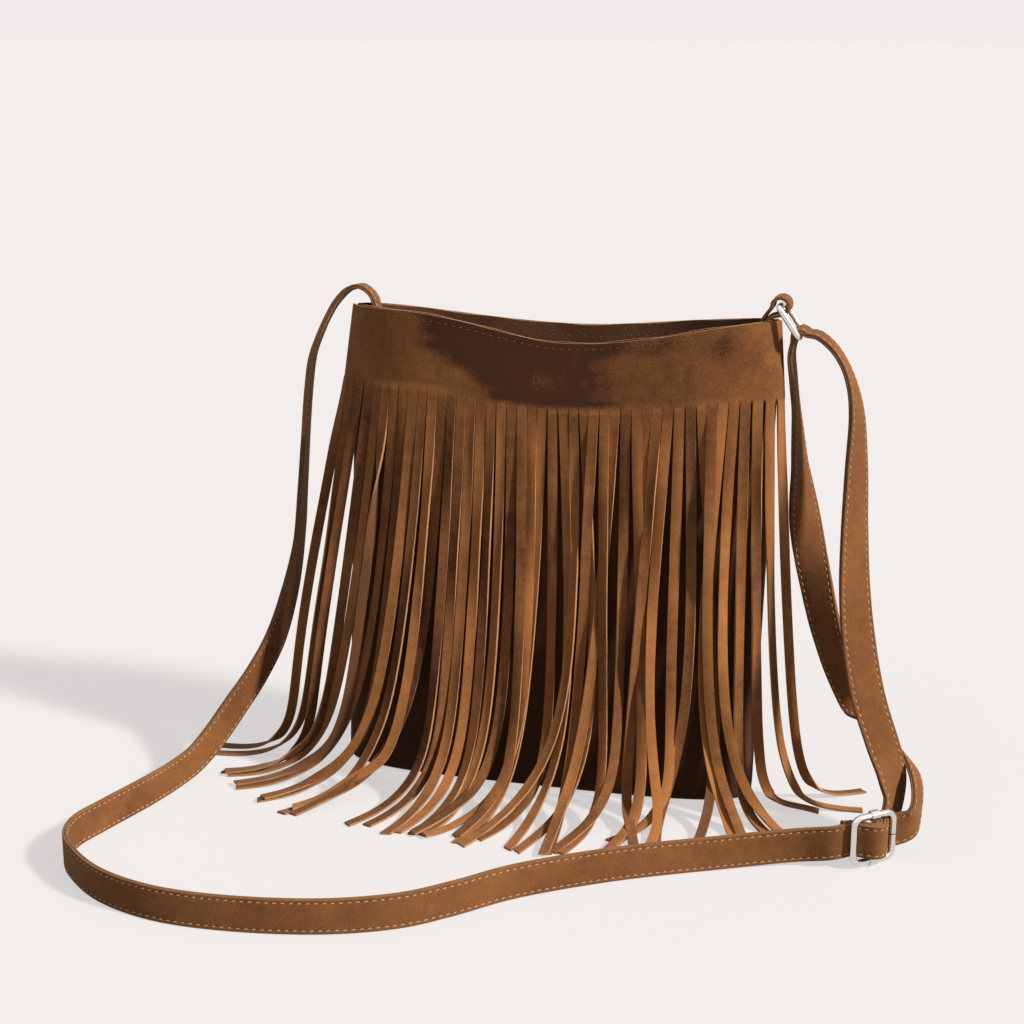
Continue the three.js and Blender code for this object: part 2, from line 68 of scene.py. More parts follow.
lens = bpy.data.cameras.new("camera")
lens.lens = LENS
camera = bpy.data.objects.new("camera", lens)
camera.location = CAMERA_AT
camera.rotation_euler = (math.pi / 2 - CAMERA_DOWN, 0, CAMERA_YAW)
scene.collection.objects.link(camera)
scene.camera = camera


# ---- sums on rows of points
def unit(vectors):
    return vectors / np.linalg.norm(vectors, axis=-1, keepdims=True)


def squared(across, along):
    """The directions across, turned square to the directions along."""
    return unit(across - np.sum(across * along, -1, keepdims=True) * along)


def capped(steps, most):
    """The steps, with none longer than most."""
    size = np.linalg.norm(steps, axis=-1, keepdims=True)
    return steps * np.minimum(1, most / (size + 1e-9))


def smoothstep(t):
    t = np.clip(t, 0, 1)
    return t * t * (3 - 2 * t)


def lerp(a, b, t):
    return a + (b - a) * t


def lengths_along(places):
    """How far each point of a route lies from its start."""
    steps = np.linalg.norm(np.diff(places, axis=0), axis=1)
    return np.concatenate([[0], np.cumsum(steps)])


def tangents_along(places):
    return unit(np.gradient(places, axis=0))


def resampled(places, at, extra=None):
    """The points at some distances along a route, and with extra its other values there."""
    along = lengths_along(places)
    rows = places if extra is None else np.hstack([places, extra])
    found = np.stack([np.interp(at, along, rows[:, k]) for k in range(rows.shape[1])], 1)
    return found if extra is None else (found[:, :3], found[:, 3:])


FINE = 24  # samples on each stretch of a spline


def spline_through(points, extra):
    """A centripetal spline through points, finely sampled, with their other values beside it."""
    points = np.array(points, float)
    ends = np.vstack([2 * points[0] - points[1], points, 2 * points[-1] - points[-2]])
    share = np.linspace(0, 1, FINE, endpoint=False)[:, None]
    fine, beside = [], []
    for i in range(len(points) - 1):
        p = ends[i:i + 4]
        knot = np.concatenate([[0], np.cumsum(np.linalg.norm(np.diff(p, axis=0), axis=1) ** 0.5)])
        t = lerp(knot[1], knot[2], share)

        def mix(a, b, low, high):
            return ((high - t) * a + (t - low) * b) / (high - low)

        first = [mix(p[k], p[k + 1], knot[k], knot[k + 1]) for k in range(3)]
        second = [mix(first[k], first[k + 1], knot[k], knot[k + 2]) for k in range(2)]
        fine.append(mix(second[0], second[1], knot[1], knot[2]))
        beside.append(lerp(extra[i], extra[i + 1], share))
    return np.vstack([*fine, points[-1:]]), np.vstack([*beside, extra[-1:]])


# ---- meshes
def grid_piece(bm, columns, rows, shape, cut):
    """Adds a grid to bm and moves its corners to shape(u, v), each from 0 to 1; cut is the flat size.
    Returns the new corners with their u and v."""
    made = bmesh.ops.create_grid(bm, x_segments=columns, y_segments=rows, size=0.5)["verts"]
    flat = np.array([v.co for v in made])[:, :2] + 0.5
    uv = bm.loops.layers.uv.verify()
    own = {v: f for v, f in zip(made, flat)}
    for face in {f for v in made for f in v.link_faces}:
        for loop in face.loops:
            u, v = own[loop.vert]
            loop[uv].uv = (cut[0][0] + u * cut[1][0], cut[0][1] + v * cut[1][1])
    for vert, place in zip(made, shape(flat[:, 0], flat[:, 1])):
        vert.co = place
    return made, flat


CREASE = 50  # degrees: edges sharper than this stay crisp
MERGE = 1e-6


def smooth(mesh, crease=None):
    mesh.polygons.foreach_set("use_smooth", [True] * len(mesh.polygons))
    if crease:
        mesh.set_sharp_from_angle(angle=math.radians(crease))


def mesh_object(name, mesh, materials, crease=None):
    piece = bpy.data.objects.new(name, mesh)
    scene.collection.objects.link(piece)
    for material in materials:
        mesh.materials.append(material)
    smooth(mesh, crease)
    return piece


def to_object(name, bm, materials, crease=None):
    mesh = bpy.data.meshes.new(name)
    bm.to_mesh(mesh)
    bm.free()
    return mesh_object(name, mesh, materials, crease)


def evaluated_mesh(piece):
    bpy.context.view_layer.update()
    return bpy.data.meshes.new_from_object(piece.evaluated_get(bpy.context.evaluated_depsgraph_get()))


def close_up(bm):
    """Joins corners that meet and turns all faces outward."""
    bmesh.ops.remove_doubles(bm, verts=bm.verts, dist=MERGE)
    bmesh.ops.recalc_face_normals(bm, faces=bm.faces)


def thickened(piece, thickness, inner=0, rim=0):
    """Gives a sheet its thickness, half to each side. The inner face and the rim take the materials that
    many places after the face's own."""
    solid = piece.modifiers.new("thickness", "SOLIDIFY")
    solid.thickness = thickness
    solid.offset = 0
    solid.use_even_offset = False
    solid.material_offset = inner
    solid.material_offset_rim = rim
    piece.data = evaluated_mesh(piece)
    piece.modifiers.clear()
    smooth(piece.data, CREASE)
    return piece


def band(name, places, edges, section, materials, edge_faces=()):
    """A closed strip with one section all along: places is its middle line, edges point across it and
    section lists (across, out). The sides of the section in edge_faces take the second material."""
    along = tangents_along(places)
    across = squared(edges, along)
    out = np.cross(across, along)
    rim = np.array(section + section[:1])
    rows = len(places) - 1
    length = lengths_along(places)[-1]

    def shape(u, v):
        k = np.rint(u * len(section)).astype(int)
        i = np.rint(v * rows).astype(int)
        return places[i] + across[i] * rim[k, :1] + out[i] * rim[k, 1:]

    bm = bmesh.new()
    made, flat = grid_piece(bm, len(section), rows, shape, ((0, 0), (1, length)))
    column = {v: int(round(f[0] * len(section))) for v, f in zip(made, flat)}
    for face in bm.faces:
        low = min(column[v] for v in face.verts)
        face.material_index = 1 if low in edge_faces else 0
    bmesh.ops.remove_doubles(bm, verts=bm.verts, dist=MERGE)
    bmesh.ops.holes_fill(bm, edges=[e for e in bm.edges if e.is_boundary], sides=0)
    bmesh.ops.recalc_face_normals(bm, faces=bm.faces)
    return to_object(name, bm, materials, CREASE)


WIRE_ROUNDNESS = 6


def wire(name, places, radius, closed, material):
    """A round wire along a route, as a mesh."""
    curve = bpy.data.curves.new(name, "CURVE")
    curve.dimensions = "3D"
    curve.bevel_depth = radius
    curve.bevel_resolution = WIRE_ROUNDNESS
    curve.use_fill_caps = True
    line = curve.splines.new("POLY")
    line.points.add(len(places) - 1)
    line.use_cyclic_u = closed
    for point, place in zip(line.points, places):
        point.co = (*place, 1)
    shown = bpy.data.objects.new(name + "_curve", curve)
    scene.collection.objects.link(shown)
    mesh = evaluated_mesh(shown)
    bpy.data.objects.remove(shown)
    bm = bmesh.new()
    bm.from_mesh(mesh)
    bpy.data.meshes.remove(mesh)
    close_up(bm)
    return to_object(name, bm, [material], CREASE)


# ---- finishes
def feed(tree, entry, value):
    """Puts a number, a colour or another node's output into an input."""
    if isinstance(value, bpy.types.NodeSocket):
        tree.links.new(value, entry)
    elif entry.type == "RGBA":
        entry.default_value = (*value, 1)
    else:
        entry.default_value = value


def fill(tree, entries, values):
    """Feeds several inputs, each by its name or number."""
    for key, value in values.items():
        feed(tree, entries[key], value)


def node(tree, kind, values=None, **settings):
    """A new node: settings are its own, values go into its inputs."""
    made = tree.nodes.new("ShaderNode" + kind)
    for name, value in settings.items():
        setattr(made, name, value)
    fill(tree, made.inputs, values or {})
    return made


def noise_node(tree, vector, scale, detail, roughness=0.5, distortion=0.0):
    made = node(tree, "TexNoise", {
        "Vector": vector, "Scale": scale, "Detail": detail, "Roughness": roughness, "Distortion": distortion,
    })
    return made.outputs["Fac"]


def sum_node(tree, kind, a, b, clamp=False):
    return node(tree, "Math", {0: a, 1: b}, operation=kind, use_clamp=clamp).outputs[0]


def between(tree, share, low, high):
    """A number that varies from low to high with share."""
    return node(tree, "MapRange", {"Value": share, "To Min": low, "To Max": high}).outputs[0]


def mixed(tree, share, low, high):
    """A colour that varies from low to high with share."""
    return node(tree, "Mix", {"Factor": share, 6: low, 7: high}, data_type="RGBA").outputs[2]


def relief(tree, height, strength, distance):
    return node(tree, "Bump", {"Height": height, "Strength": strength, "Distance": distance}).outputs[0]


def centred(tree, value, gain):
    """A 0..1 noise as a swing about nought."""
    return sum_node(tree, "MULTIPLY", sum_node(tree, "SUBTRACT", value, 0.5), gain)


def nap_group():
    """Suede: broad brushed patches, short strokes and a fine grain, between two colours."""
    tree = bpy.data.node_groups.new("suede_nap", "ShaderNodeTree")
    for way, name, kind in (
        ("INPUT", "Vector", "Vector"), ("INPUT", "Raised", "Color"), ("INPUT", "Laid", "Color"),
        ("INPUT", "Patches", "Float"), ("INPUT", "Grain", "Float"), ("INPUT", "Tone And Painted Light", "Float"),
        ("OUTPUT", "Color", "Color"), ("OUTPUT", "Roughness", "Float"), ("OUTPUT", "Height", "Float"),
    ):
        tree.interface.new_socket(name=name, in_out=way, socket_type="NodeSocket" + kind)
    given = tree.nodes.new("NodeGroupInput").outputs
    made = tree.nodes.new("NodeGroupOutput").inputs

    finer = sum_node(tree, "MULTIPLY", given["Patches"], 9)
    broad = noise_node(tree, given["Vector"], given["Patches"], 3, 0.55, 0.6)
    strokes = noise_node(tree, given["Vector"], finer, 3, 0.6, 0.3)
    grain = noise_node(tree, given["Vector"], given["Grain"], 2, 0.7)
    swing = sum_node(tree, "ADD", centred(tree, broad, 0.85), centred(tree, strokes, 0.5))
    swing = sum_node(tree, "ADD", swing, centred(tree, grain, 0.7))
    # the shift from outside carries a piece's own tone and painted light
    swing = sum_node(tree, "ADD", swing, given["Tone And Painted Light"])
    raised = sum_node(tree, "ADD", swing, 0.5, clamp=True)
    height = sum_node(tree, "ADD", sum_node(tree, "MULTIPLY", grain, 0.7), centred(tree, strokes, 0.5))
    fill(tree, made, {
        "Color": mixed(tree, raised, given["Laid"], given["Raised"]),
        "Roughness": between(tree, raised, 0.78, 0.95),
        "Height": height,
    })
    return tree


NAP = nap_group()


def shader(name):
    material = bpy.data.materials.new(name)
    material.use_nodes = True
    return material, material.node_tree, material.node_tree.nodes["Principled BSDF"].inputs


def suede(name, raised, laid, patches, grain, bump, sheen, tone_and_painted_light=None):
    """A suede finish between two colours. The last argument names a corner attribute that shifts the colour
    between them; on the fringe it holds each strand's own tone, painted light that makes the right-hand
    strands lighter, and the yoke's darker patches.
    """
    material, tree, surface = shader(name)
    nap = node(tree, "Group", node_tree=NAP)
    fill(tree, nap.inputs, {
        "Vector": node(tree, "TexCoord").outputs["Object"], "Raised": raised, "Laid": laid,
        "Patches": patches, "Grain": grain,
        "Tone And Painted Light": node(tree, "Attribute", attribute_name=tone_and_painted_light).outputs["Fac"] if tone_and_painted_light else 0,
    })
    fill(tree, surface, {
        "Base Color": nap.outputs["Color"],
        "Roughness": nap.outputs["Roughness"],
        "Normal": relief(tree, nap.outputs["Height"], bump, 0.0006),
        "Specular IOR Level": 0.15,
        "Sheen Weight": sheen,
        "Sheen Roughness": 0.45,
        "Sheen Tint": (1.0, 0.72, 0.5),
    })
    return material


def nickel(name):
    """Polished nickel plate with faint handling smears."""
    material, tree, surface = shader(name)
    smears = noise_node(tree, node(tree, "TexCoord").outputs["Object"], 260, 4, 0.6, 1.2)
    fill(tree, surface, {
        "Base Color": mixed(tree, smears, (0.62, 0.6, 0.57), (0.8, 0.79, 0.77)),
        "Roughness": between(tree, smears, 0.08, 0.24),
        "Metallic": 1,
        "Normal": relief(tree, smears, 0.06, 0.0003),
    })
    return material


def woven(name, light, dark, threads):
    """Plain woven cloth: two crossing sets of threads on the piece's flat coordinates."""
    material, tree, surface = shader(name)
    flat = node(tree, "TexCoord").outputs["UV"]
    weave = []
    for way in ("X", "Y"):
        values = {"Vector": flat, "Scale": threads, "Distortion": 0.4}
        wave = node(tree, "TexWave", values, wave_type="BANDS", bands_direction=way)
        weave.append(wave.outputs["Fac"])
    height = sum_node(tree, "MAXIMUM", *weave)
    slubs = noise_node(tree, flat, 60, 4)
    shade = sum_node(tree, "MULTIPLY", height, sum_node(tree, "ADD", slubs, 0.4), clamp=True)
    fill(tree, surface, {
        "Base Color": mixed(tree, shade, dark, light),
        "Roughness": 0.85,
        "Normal": relief(tree, height, 0.35, 0.0003),
    })
    return material


def thread(name, light, dark):
    """Twisted sewing thread."""
    material, tree, surface = shader(name)
    twist = noise_node(tree, node(tree, "TexCoord").outputs["Object"], 1500, 2)
    fill(tree, surface, {"Base Color": mixed(tree, twist, dark, light), "Roughness": 0.6})
    return material


STRAP_FACE = suede("strap_suede", (0.31, 0.125, 0.041), (0.095, 0.032, 0.01), 22, 1300, 0.5, 0.15)
STRAP_EDGE = suede("strap_cut_edge", (0.3, 0.14, 0.06), (0.12, 0.05, 0.02), 60, 1500, 0.6, 0.2)
# its corner attribute makes the right-hand strands lighter as painted light, besides each strand's own tone
FRINGE_FACE = suede(
    "fringe_suede", (0.42, 0.165, 0.05), (0.06, 0.02, 0.008), 18, 1100, 0.45, 0.22, tone_and_painted_light="tone_and_painted_light"
)
FRINGE_BACK = suede("fringe_flesh_side", (0.2, 0.085, 0.034), (0.09, 0.036, 0.015), 30, 900, 0.6, 0.3)
FRINGE_EDGE = suede("fringe_cut_edge", (0.52, 0.27, 0.125), (0.3, 0.13, 0.055), 80, 1500, 0.5, 0.3)
# painted shade: the front panel's suede, darkened to near black for the shade behind the fringe; the facings'
# inner side wears it too
SHADED_BODY_FACE = suede("body_suede", (0.11, 0.042, 0.017), (0.04, 0.016, 0.008), 16, 900, 0.5, 0.15)
BACK_FACE = suede("back_suede", (0.27, 0.105, 0.038), (0.11, 0.042, 0.016), 13, 900, 0.5, 0.2)
FACING_FACE = suede("facing_suede", (0.17, 0.075, 0.036), (0.08, 0.034, 0.018), 20, 900, 0.5, 0.3)
LINING_CLOTH = woven("lining_cloth", (0.07, 0.05, 0.038), (0.025, 0.018, 0.014), 420)
NICKEL = nickel("nickel")
STRAP_THREAD = thread("strap_thread", (0.6, 0.38, 0.2), (0.38, 0.21, 0.1))
LIP_THREAD = thread("lip_thread", (0.26, 0.135, 0.06), (0.12, 0.055, 0.024))


# ---- strap
# Where the strap stands on its edge on the floor.
ON_EDGE = [
    (-0.21, -0.108), (-0.219, -0.146), (-0.224, -0.172), (-0.219, -0.192),
    (-0.203, -0.211), (-0.178, -0.229), (-0.143, -0.24), (-0.1, -0.24),
    (-0.052, -0.23), (-0.019, -0.214), (0.002, -0.195), (0.027, -0.168),
    (0.073, -0.134),
]
# A place on the strap's middle line, then the direction of its upper or outer edge.
LEFT_AND_FRONT = [
    (-0.101, 0, 0.262, 0.2, -1, 0),
    (-0.101, 0, 0.28, 0.2, -1, 0),
    (-0.104, 0, 0.29, 0.2, -1, 0.1),
    (-0.111, 0.0005, 0.2945, 0.2, -1, 0.1),
    (-0.119, 0.001, 0.2925, 0.2, -1, 0.1),
    (-0.126, 0.001, 0.286, 0.2, -0.98, 0.1),
    (-0.132, 0.001, 0.277, 0.2, -0.98, 0),
    (-0.138, 0.001, 0.265, 0.2, -0.98, 0),
    (-0.143, 0.001, 0.252, 0.2, -0.98, 0),
    (-0.146, 0.001, 0.234, 0.2, -0.98, 0),
    (-0.149, 0.001, 0.204, 0.2, -0.98, 0),
    (-0.152, 0.001, 0.17, 0.15, -0.98, 0),
    (-0.155, 0, 0.137, 0.1, -0.98, 0.1),
    (-0.16, -0.005, 0.106, -0.1, -0.9, 0.3),
    (-0.167, -0.014, 0.077, -0.25, -0.85, 0.45),
    (-0.176, -0.024, 0.056, -0.3, -0.75, 0.6),
    (-0.186, -0.036, 0.038, -0.3, -0.6, 0.75),
    (-0.195, -0.049, 0.022, -0.2, -0.4, 0.9),
    (-0.201, -0.062, 0.013, -0.1, -0.2, 0.98),
    (-0.205, -0.078, 0.01, 0, 0, 1),
    *((x, y, 0.0098, 0, 0, 1) for x, y in ON_EDGE),
    (0.124, -0.106, 0.01, 0, 0, 1),
    (0.165, -0.089, 0.012, 0, 0, 1),
    (0.184, -0.088, 0.015, 0, 0, 1),
]
UP_BEHIND = [
    (0.224, -0.061, 0.02, -0.05, -0.2, 1),
    (0.226, -0.05, 0.031, -0.2, -0.5, 0.8),
    (0.222, -0.037, 0.042, -0.45, -0.4, 0.75),
    (0.211, -0.024, 0.05, -0.6, -0.2, 0.7),
    (0.195, -0.013, 0.061, -0.75, 0.1, 0.6),
    (0.18, -0.005, 0.078, -0.85, 0.4, 0.3),
    (0.169, -0.001, 0.104, -0.93, 0.36, 0.05),
    (0.16, 0.003, 0.136, -0.98, 0.15, 0),
    (0.1535, 0.005, 0.165, -0.85, -0.4, 0),
    (0.1485, 0.006, 0.2, -0.3, -0.95, 0),
    (0.145, 0.005, 0.235, 0, -1, 0),
    (0.143, 0.003, 0.253, 0, -1, 0),
    (0.142, 0.001, 0.266, 0, -1, 0),
]
DOWN_IN_FRONT = [
    (0.157, -0.001, 0.277, 0, -1, 0),
    (0.165, -0.002, 0.271, 0, -1, 0),
    (0.172, -0.004, 0.2615, 0, -1, 0),
    (0.177, -0.006, 0.2495, -0.1, -1, 0),
    (0.18, -0.008, 0.235, -0.25, -0.95, 0),
    (0.1815, -0.012, 0.205, -0.5, -0.85, 0),
    (0.1825, -0.017, 0.171, -0.65, -0.75, 0),
    (0.1845, -0.022, 0.139, -0.8, -0.6, 0),
    (0.1885, -0.029, 0.112, -0.9, -0.4, 0),
    (0.196, -0.038, 0.082, -0.95, -0.3, 0),
    (0.205, -0.046, 0.06, -0.93, -0.3, 0.25),
    (0.2115, -0.0495, 0.043, -0.75, -0.5, 0.4),
    (0.2135, -0.0535, 0.029, -0.35, -0.5, 0.75),
]
STRAP_THICK = 2.8 * MM
STRAP_STEP = 1.6 * MM
EASE = 3  # steps on each side over which the edge's direction is averaged
STRAP_TAIL = 5 * MM  # the end stands out past the slider's end bar
GAP = 0.3 * MM

RING_WIRE = 1.75 * MM
RING_OPENING = 20 * MM
ring_low, ring_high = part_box("ring")
RING_TOP = np.array(frame["joints"][0]["pos_m"])
RING_FOOT = np.array((ring_high.x - RING_WIRE, 0, ring_low.z + RING_WIRE))
OVER_FROM, OVER_TO, OVER_STEPS = math.radians(200), math.radians(30), 8

SLIDER_WIRE = 2 * MM
SLIDER_BAR = 1.75 * MM
SLIDER_LENGTH = 26 * MM
SLIDER_HEIGHT = 26 * MM
SLIDER_TURN = math.radians(42)
slider_low, slider_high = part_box("slider_frame")
SLIDER_AT = np.array((slider_low + slider_high) / 2)
SLIDER_ALONG = np.array((math.cos(SLIDER_TURN), math.sin(SLIDER_TURN), 0))
SLIDER_OUT = np.array((math.sin(SLIDER_TURN), -math.cos(SLIDER_TURN), 0))
UP = np.array((0.0, 0.0, 1.0))
LAYER = STRAP_THICK + GAP
FIRST_OVER = SLIDER_BAR + GAP + STRAP_THICK / 2
FIRST_BEHIND = SLIDER_WIRE + GAP + STRAP_THICK / 2


def in_slider(along, out, up=0.0):
    return SLIDER_AT + along * SLIDER_ALONG + out * SLIDER_OUT + up * UP


def weave(over_centre, behind_end, steps=3):
    """Stations behind one end bar, over the centre bar and behind the other, on arcs of those radii."""
    half = SLIDER_LENGTH / 2
    slope = math.asin((over_centre + behind_end) / half)
    turns = [slope * i / steps for i in range(-steps, steps + 1)]
    behind = [(behind_end * math.sin(a) - half, -behind_end * math.cos(a)) for a in turns[steps:]]
    over = [(over_centre * math.sin(a), over_centre * math.cos(a)) for a in turns]
    places = [*behind, *over, *((-along, out) for along, out in behind[::-1])]
    return [(*in_slider(along, out), 0, 0, 1) for along, out in places]


def over_ring():
    """Stations over the ring's lower bar."""
    radius = RING_WIRE + STRAP_THICK / 2 + 2 * GAP
    x, _, z = RING_FOOT
    turns = np.linspace(OVER_FROM, OVER_TO, OVER_STEPS + 1)
    return [(x + radius * math.cos(a), 0, z + radius * math.sin(a), 0, -1, 0) for a in turns]


def strap_route():
    """The strap's middle line and the directions across it."""
    tail = in_slider(-SLIDER_LENGTH / 2 - STRAP_TAIL, -FIRST_BEHIND - LAYER, MM)
    stations = np.array([
        *LEFT_AND_FRONT,
        *weave(FIRST_OVER + LAYER, FIRST_BEHIND),
        *UP_BEHIND,
        *over_ring(),
        *DOWN_IN_FRONT,
        *weave(FIRST_OVER, FIRST_BEHIND + LAYER)[::-1],
        (*tail, 0, 0, 1),
    ])
    fine, edges = spline_through(stations[:, :3], unit(stations[:, 3:]))
    length = lengths_along(fine)[-1]
    at = np.linspace(0, length, round(length / STRAP_STEP) + 1)
    places, edges = resampled(fine, at, edges)
    window = np.ones(2 * EASE + 1) / (2 * EASE + 1)
    padded = np.pad(edges, ((EASE, EASE), (0, 0)), mode="edge")
    edges = np.stack([np.convolve(padded[:, k], window, "valid") for k in range(3)], 1)
    return places, unit(edges), length


STITCH_ROW = 7.5 * MM  # of each row of stitches, from the strap's middle line
# One layer's outline from the cut edge to the middle, across and out in millimetres.
HALF_LAYER = [
    (9.0, 0.0), (9.32, 0.1), (9.5, 0.32), (9.5, 1.05), (9.3, 1.3), (8.9, 1.4), (8.1, 1.4), (7.8, 1.34),
    (7.5, 1.2), (7.2, 1.34), (6.8, 1.4), (3.6, 1.42), (0.0, 1.42),
]


def strap_section():
    """The strap's closed section: two layers that part in a fine groove at both edges."""
    quarter = np.array(HALF_LAYER) * MM
    face = np.vstack([quarter, (quarter * (-1, 1))[-2::-1]])
    back = (face * (-1, -1))[1:-1]
    return [tuple(p) for p in np.vstack([face, back])]


STITCH_SLANT = 0.16
STITCH_OUT = 1.3 * MM  # from the strap's middle to the middle of a stitch
STITCH_PITCH = 4.2 * MM
EDGE_FROM = 8.95 * MM  # the sides of the section beyond this are cut edge


def stitches(name, rows, size, material):
    """Short raised stitches. Each row has its places, the directions along and out, and a pitch."""
    bm = bmesh.new()
    bmesh.ops.create_uvsphere(bm, u_segments=6, v_segments=5, radius=0.5)
    ball = np.array([v.co for v in bm.verts]) * size
    sides = [[v.index for v in face.verts] for face in bm.faces]
    bm.free()
    corners, faces = [], []
    for places, along, out, pitch in rows:
        length = lengths_along(places)[-1]
        at = np.arange(pitch / 2, length, pitch)
        spots, directions = resampled(places, at, np.hstack([along, out]))
        a = unit(directions[:, :3])
        o = squared(directions[:, 3:], a)
        a = unit(a + STITCH_SLANT * np.cross(o, a))
        turns = np.stack([a, np.cross(o, a), o], 1)
        for spot, turn in zip(spots, turns):
            start = len(corners) * len(ball)
            corners.append(ball @ turn + spot)
            faces.extend([start + k for k in side] for side in sides)
    mesh = bpy.data.meshes.new(name)
    mesh.from_pydata(np.vstack(corners), [], faces)
    return mesh_object(name, mesh, [material])


strap_line, strap_edges, strap_length = strap_route()
section = strap_section()
sides = [k for k, (a, _) in enumerate(section) if abs(a) > EDGE_FROM]
strap = band("long_strap", strap_line, strap_edges, section, [STRAP_FACE, STRAP_EDGE], sides)
strap_along = tangents_along(strap_line)
strap_across = squared(strap_edges, strap_along)
strap_out = np.cross(strap_across, strap_along)
seams = []
for face in (1, -1):
    for row in (STITCH_ROW, -STITCH_ROW):
        line = strap_line + strap_across * row + strap_out * face * STITCH_OUT
        seams.append((line, strap_along, strap_out * face, STITCH_PITCH))
strap_seams = stitches("strap_stitching", seams, (2.7 * MM, 0.7 * MM, 0.5 * MM), STRAP_THREAD)


# ---- the body's shape
LIP_HALF = 125 * MM  # half width at the lip
BASE_HALF = 126 * MM
BASE_DEPTH = 24 * MM  # half depths
BELLY_DEPTH = 28 * MM
LIP_DEPTH = 25 * MM
BASE_EDGE = 5 * MM
BODY_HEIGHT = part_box("facing_back")[1].z
LIP_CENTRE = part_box("body_front")[1].x - LIP_HALF
BASE_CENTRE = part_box("body_front")[0].x + BASE_HALF
SUEDE = 1.4 * MM
FACING = 1.2 * MM
FACING_DROP = 38 * MM
LINING = 1.0 * MM
LINING_DROP = 53 * MM
UNDER_LIP = 2 * MM
FRONT_SAG = 13.5 * MM
BACK_SAG = 10 * MM
SAG_CENTRE = 25 * MM
SAG_REACH = 110 * MM


def rise(z):
    return np.clip(z / BODY_HEIGHT, 0, 1)


def centre_x(z):
    return lerp(BASE_CENTRE, LIP_CENTRE, rise(z))


def half_width(z):
    return lerp(BASE_HALF, LIP_HALF, rise(z))


def half_depth(z):
    middle = BELLY_DEPTH - (BASE_DEPTH + LIP_DEPTH) / 2
    return lerp(BASE_DEPTH, LIP_DEPTH, rise(z)) + middle * np.sin(math.pi * rise(z))


def rumple(x, z, side):
    """How far the soft wall stands in or out of its plain shape."""
    if side < 0:
        waves = 0.9 * np.sin(38 * x + 9 * z + 0.4) + 0.6 * np.sin(71 * x - 23 * z + 1.9)
        waves = waves + 0.45 * np.sin(17 * x + 60 * z)
    else:
        waves = 1.7 * np.sin(27 * x + 15 * z + 2.0) + 1.0 * np.sin(58 * x - 33 * z + 1.2)
        waves = waves + 0.8 * np.sin(90 * x + 52 * z) * smoothstep((z - 0.12) / 0.1)
    return waves * MM * smoothstep(z / 0.05) * (1 - 0.5 * smoothstep((z - 0.22) / 0.06))


def on_outline(angle, z, out=0.0, side=-1, seam=0.0):
    """A point of the body's plan outline at a height: angle 0 is the right seam, pi the left one."""
    c, s = np.cos(angle), np.sin(angle)
    x = centre_x(z) + c * (half_width(z) + out)
    depth = half_depth(z) + out - seam
    y = side * (seam + (depth + rumple(x, z, side)) * s * np.sqrt(1 + c * c))
    return np.stack(np.broadcast_arrays(x, y, z), -1)


def front_lip(x):
    """The height of the front lip, which sags to the right of its middle and flutters a little."""
    t = np.minimum(np.abs((x - SAG_CENTRE) / SAG_REACH), 1)
    flutter = 0.35 * np.sin(75 * x + 1) + 0.15 * np.sin(190 * x)
    return BODY_HEIGHT - FRONT_SAG * np.cos(math.pi / 2 * t) ** 2 - MM * (0.85 + flutter) * (1 - t)


def back_lip(x):
    wide = np.minimum(np.abs((x - LIP_CENTRE) / LIP_HALF), 1)
    flutter = 0.2 * np.sin(60 * x)
    return BODY_HEIGHT - BACK_SAG * np.cos(math.pi / 2 * wide) ** 1.3 - MM * (0.85 + flutter)


BASE_SHARE, EDGE_SHARE = 0.12, 0.2  # rows of a half shell's grid that are base, and base with its edge


WALL_CUT = (0.33, 0.31)  # flat size of half a body


def half_shell(bm, side, out, top, cells):
    """Half of a bag: half the base, its rounded edge and one wall up to top(x)."""
    seam = GAP / 2

    def shape(u, v):
        angle = math.pi * (1 - u) if side < 0 else math.pi * u
        rim = on_outline(angle, 0 * v, out - BASE_EDGE, side, seam)
        middle = rim.copy()
        middle[:, 0] = lerp(BASE_CENTRE, rim[:, 0], 0.96)
        middle[:, 1] = 4 * MM * np.sin(angle) + side * seam
        base = lerp(middle, rim, np.clip(v / BASE_SHARE, 0, 1)[:, None])
        base[:, 2] = -out
        turn = math.pi / 2 * np.clip((v - BASE_SHARE) / (EDGE_SHARE - BASE_SHARE), 0, 1)
        edge = on_outline(angle, 0 * v, out - BASE_EDGE * (1 - np.sin(turn)), side, seam)
        edge[:, 2] = BASE_EDGE * (1 - np.cos(turn)) - out
        up = np.clip((v - EDGE_SHARE) / (1 - EDGE_SHARE), 0, 1)
        x = on_outline(angle, BODY_HEIGHT + 0 * v, out, side, seam)[:, 0]
        wall = on_outline(angle, lerp(BASE_EDGE - out, top(x), up), out, side, seam)
        places = np.where((v <= BASE_SHARE)[:, None], base, edge)
        return np.where((v <= EDGE_SHARE)[:, None], places, wall)

    grid_piece(bm, cells, cells, shape, ((0, 0), WALL_CUT))


def body_half(name, side, top, finish):
    bm = bmesh.new()
    half_shell(bm, side, -SUEDE / 2, top, 90)
    return thickened(to_object(name, bm, [finish, FACING_FACE, FRINGE_EDGE]), SUEDE, 1, 2)


def facing(name, side, top):
    inset = -(SUEDE + GAP + FACING / 2)

    def shape(u, v):
        angle = math.pi * u if side < 0 else math.pi * (1 - u)
        x = on_outline(angle, BODY_HEIGHT + 0 * v, inset, side)[:, 0]
        z = top(x) - FACING_DROP * (1 - v) + 0.3 * MM * np.sin(160 * x + side)
        return on_outline(angle, z, inset, side, GAP / 2)

    bm = bmesh.new()
    grid_piece(bm, 100, 10, shape, ((0, 0), (WALL_CUT[0], FACING_DROP)))
    return thickened(to_object(name, bm, [FACING_FACE, SHADED_BODY_FACE, FRINGE_EDGE]), FACING, 1, 2)


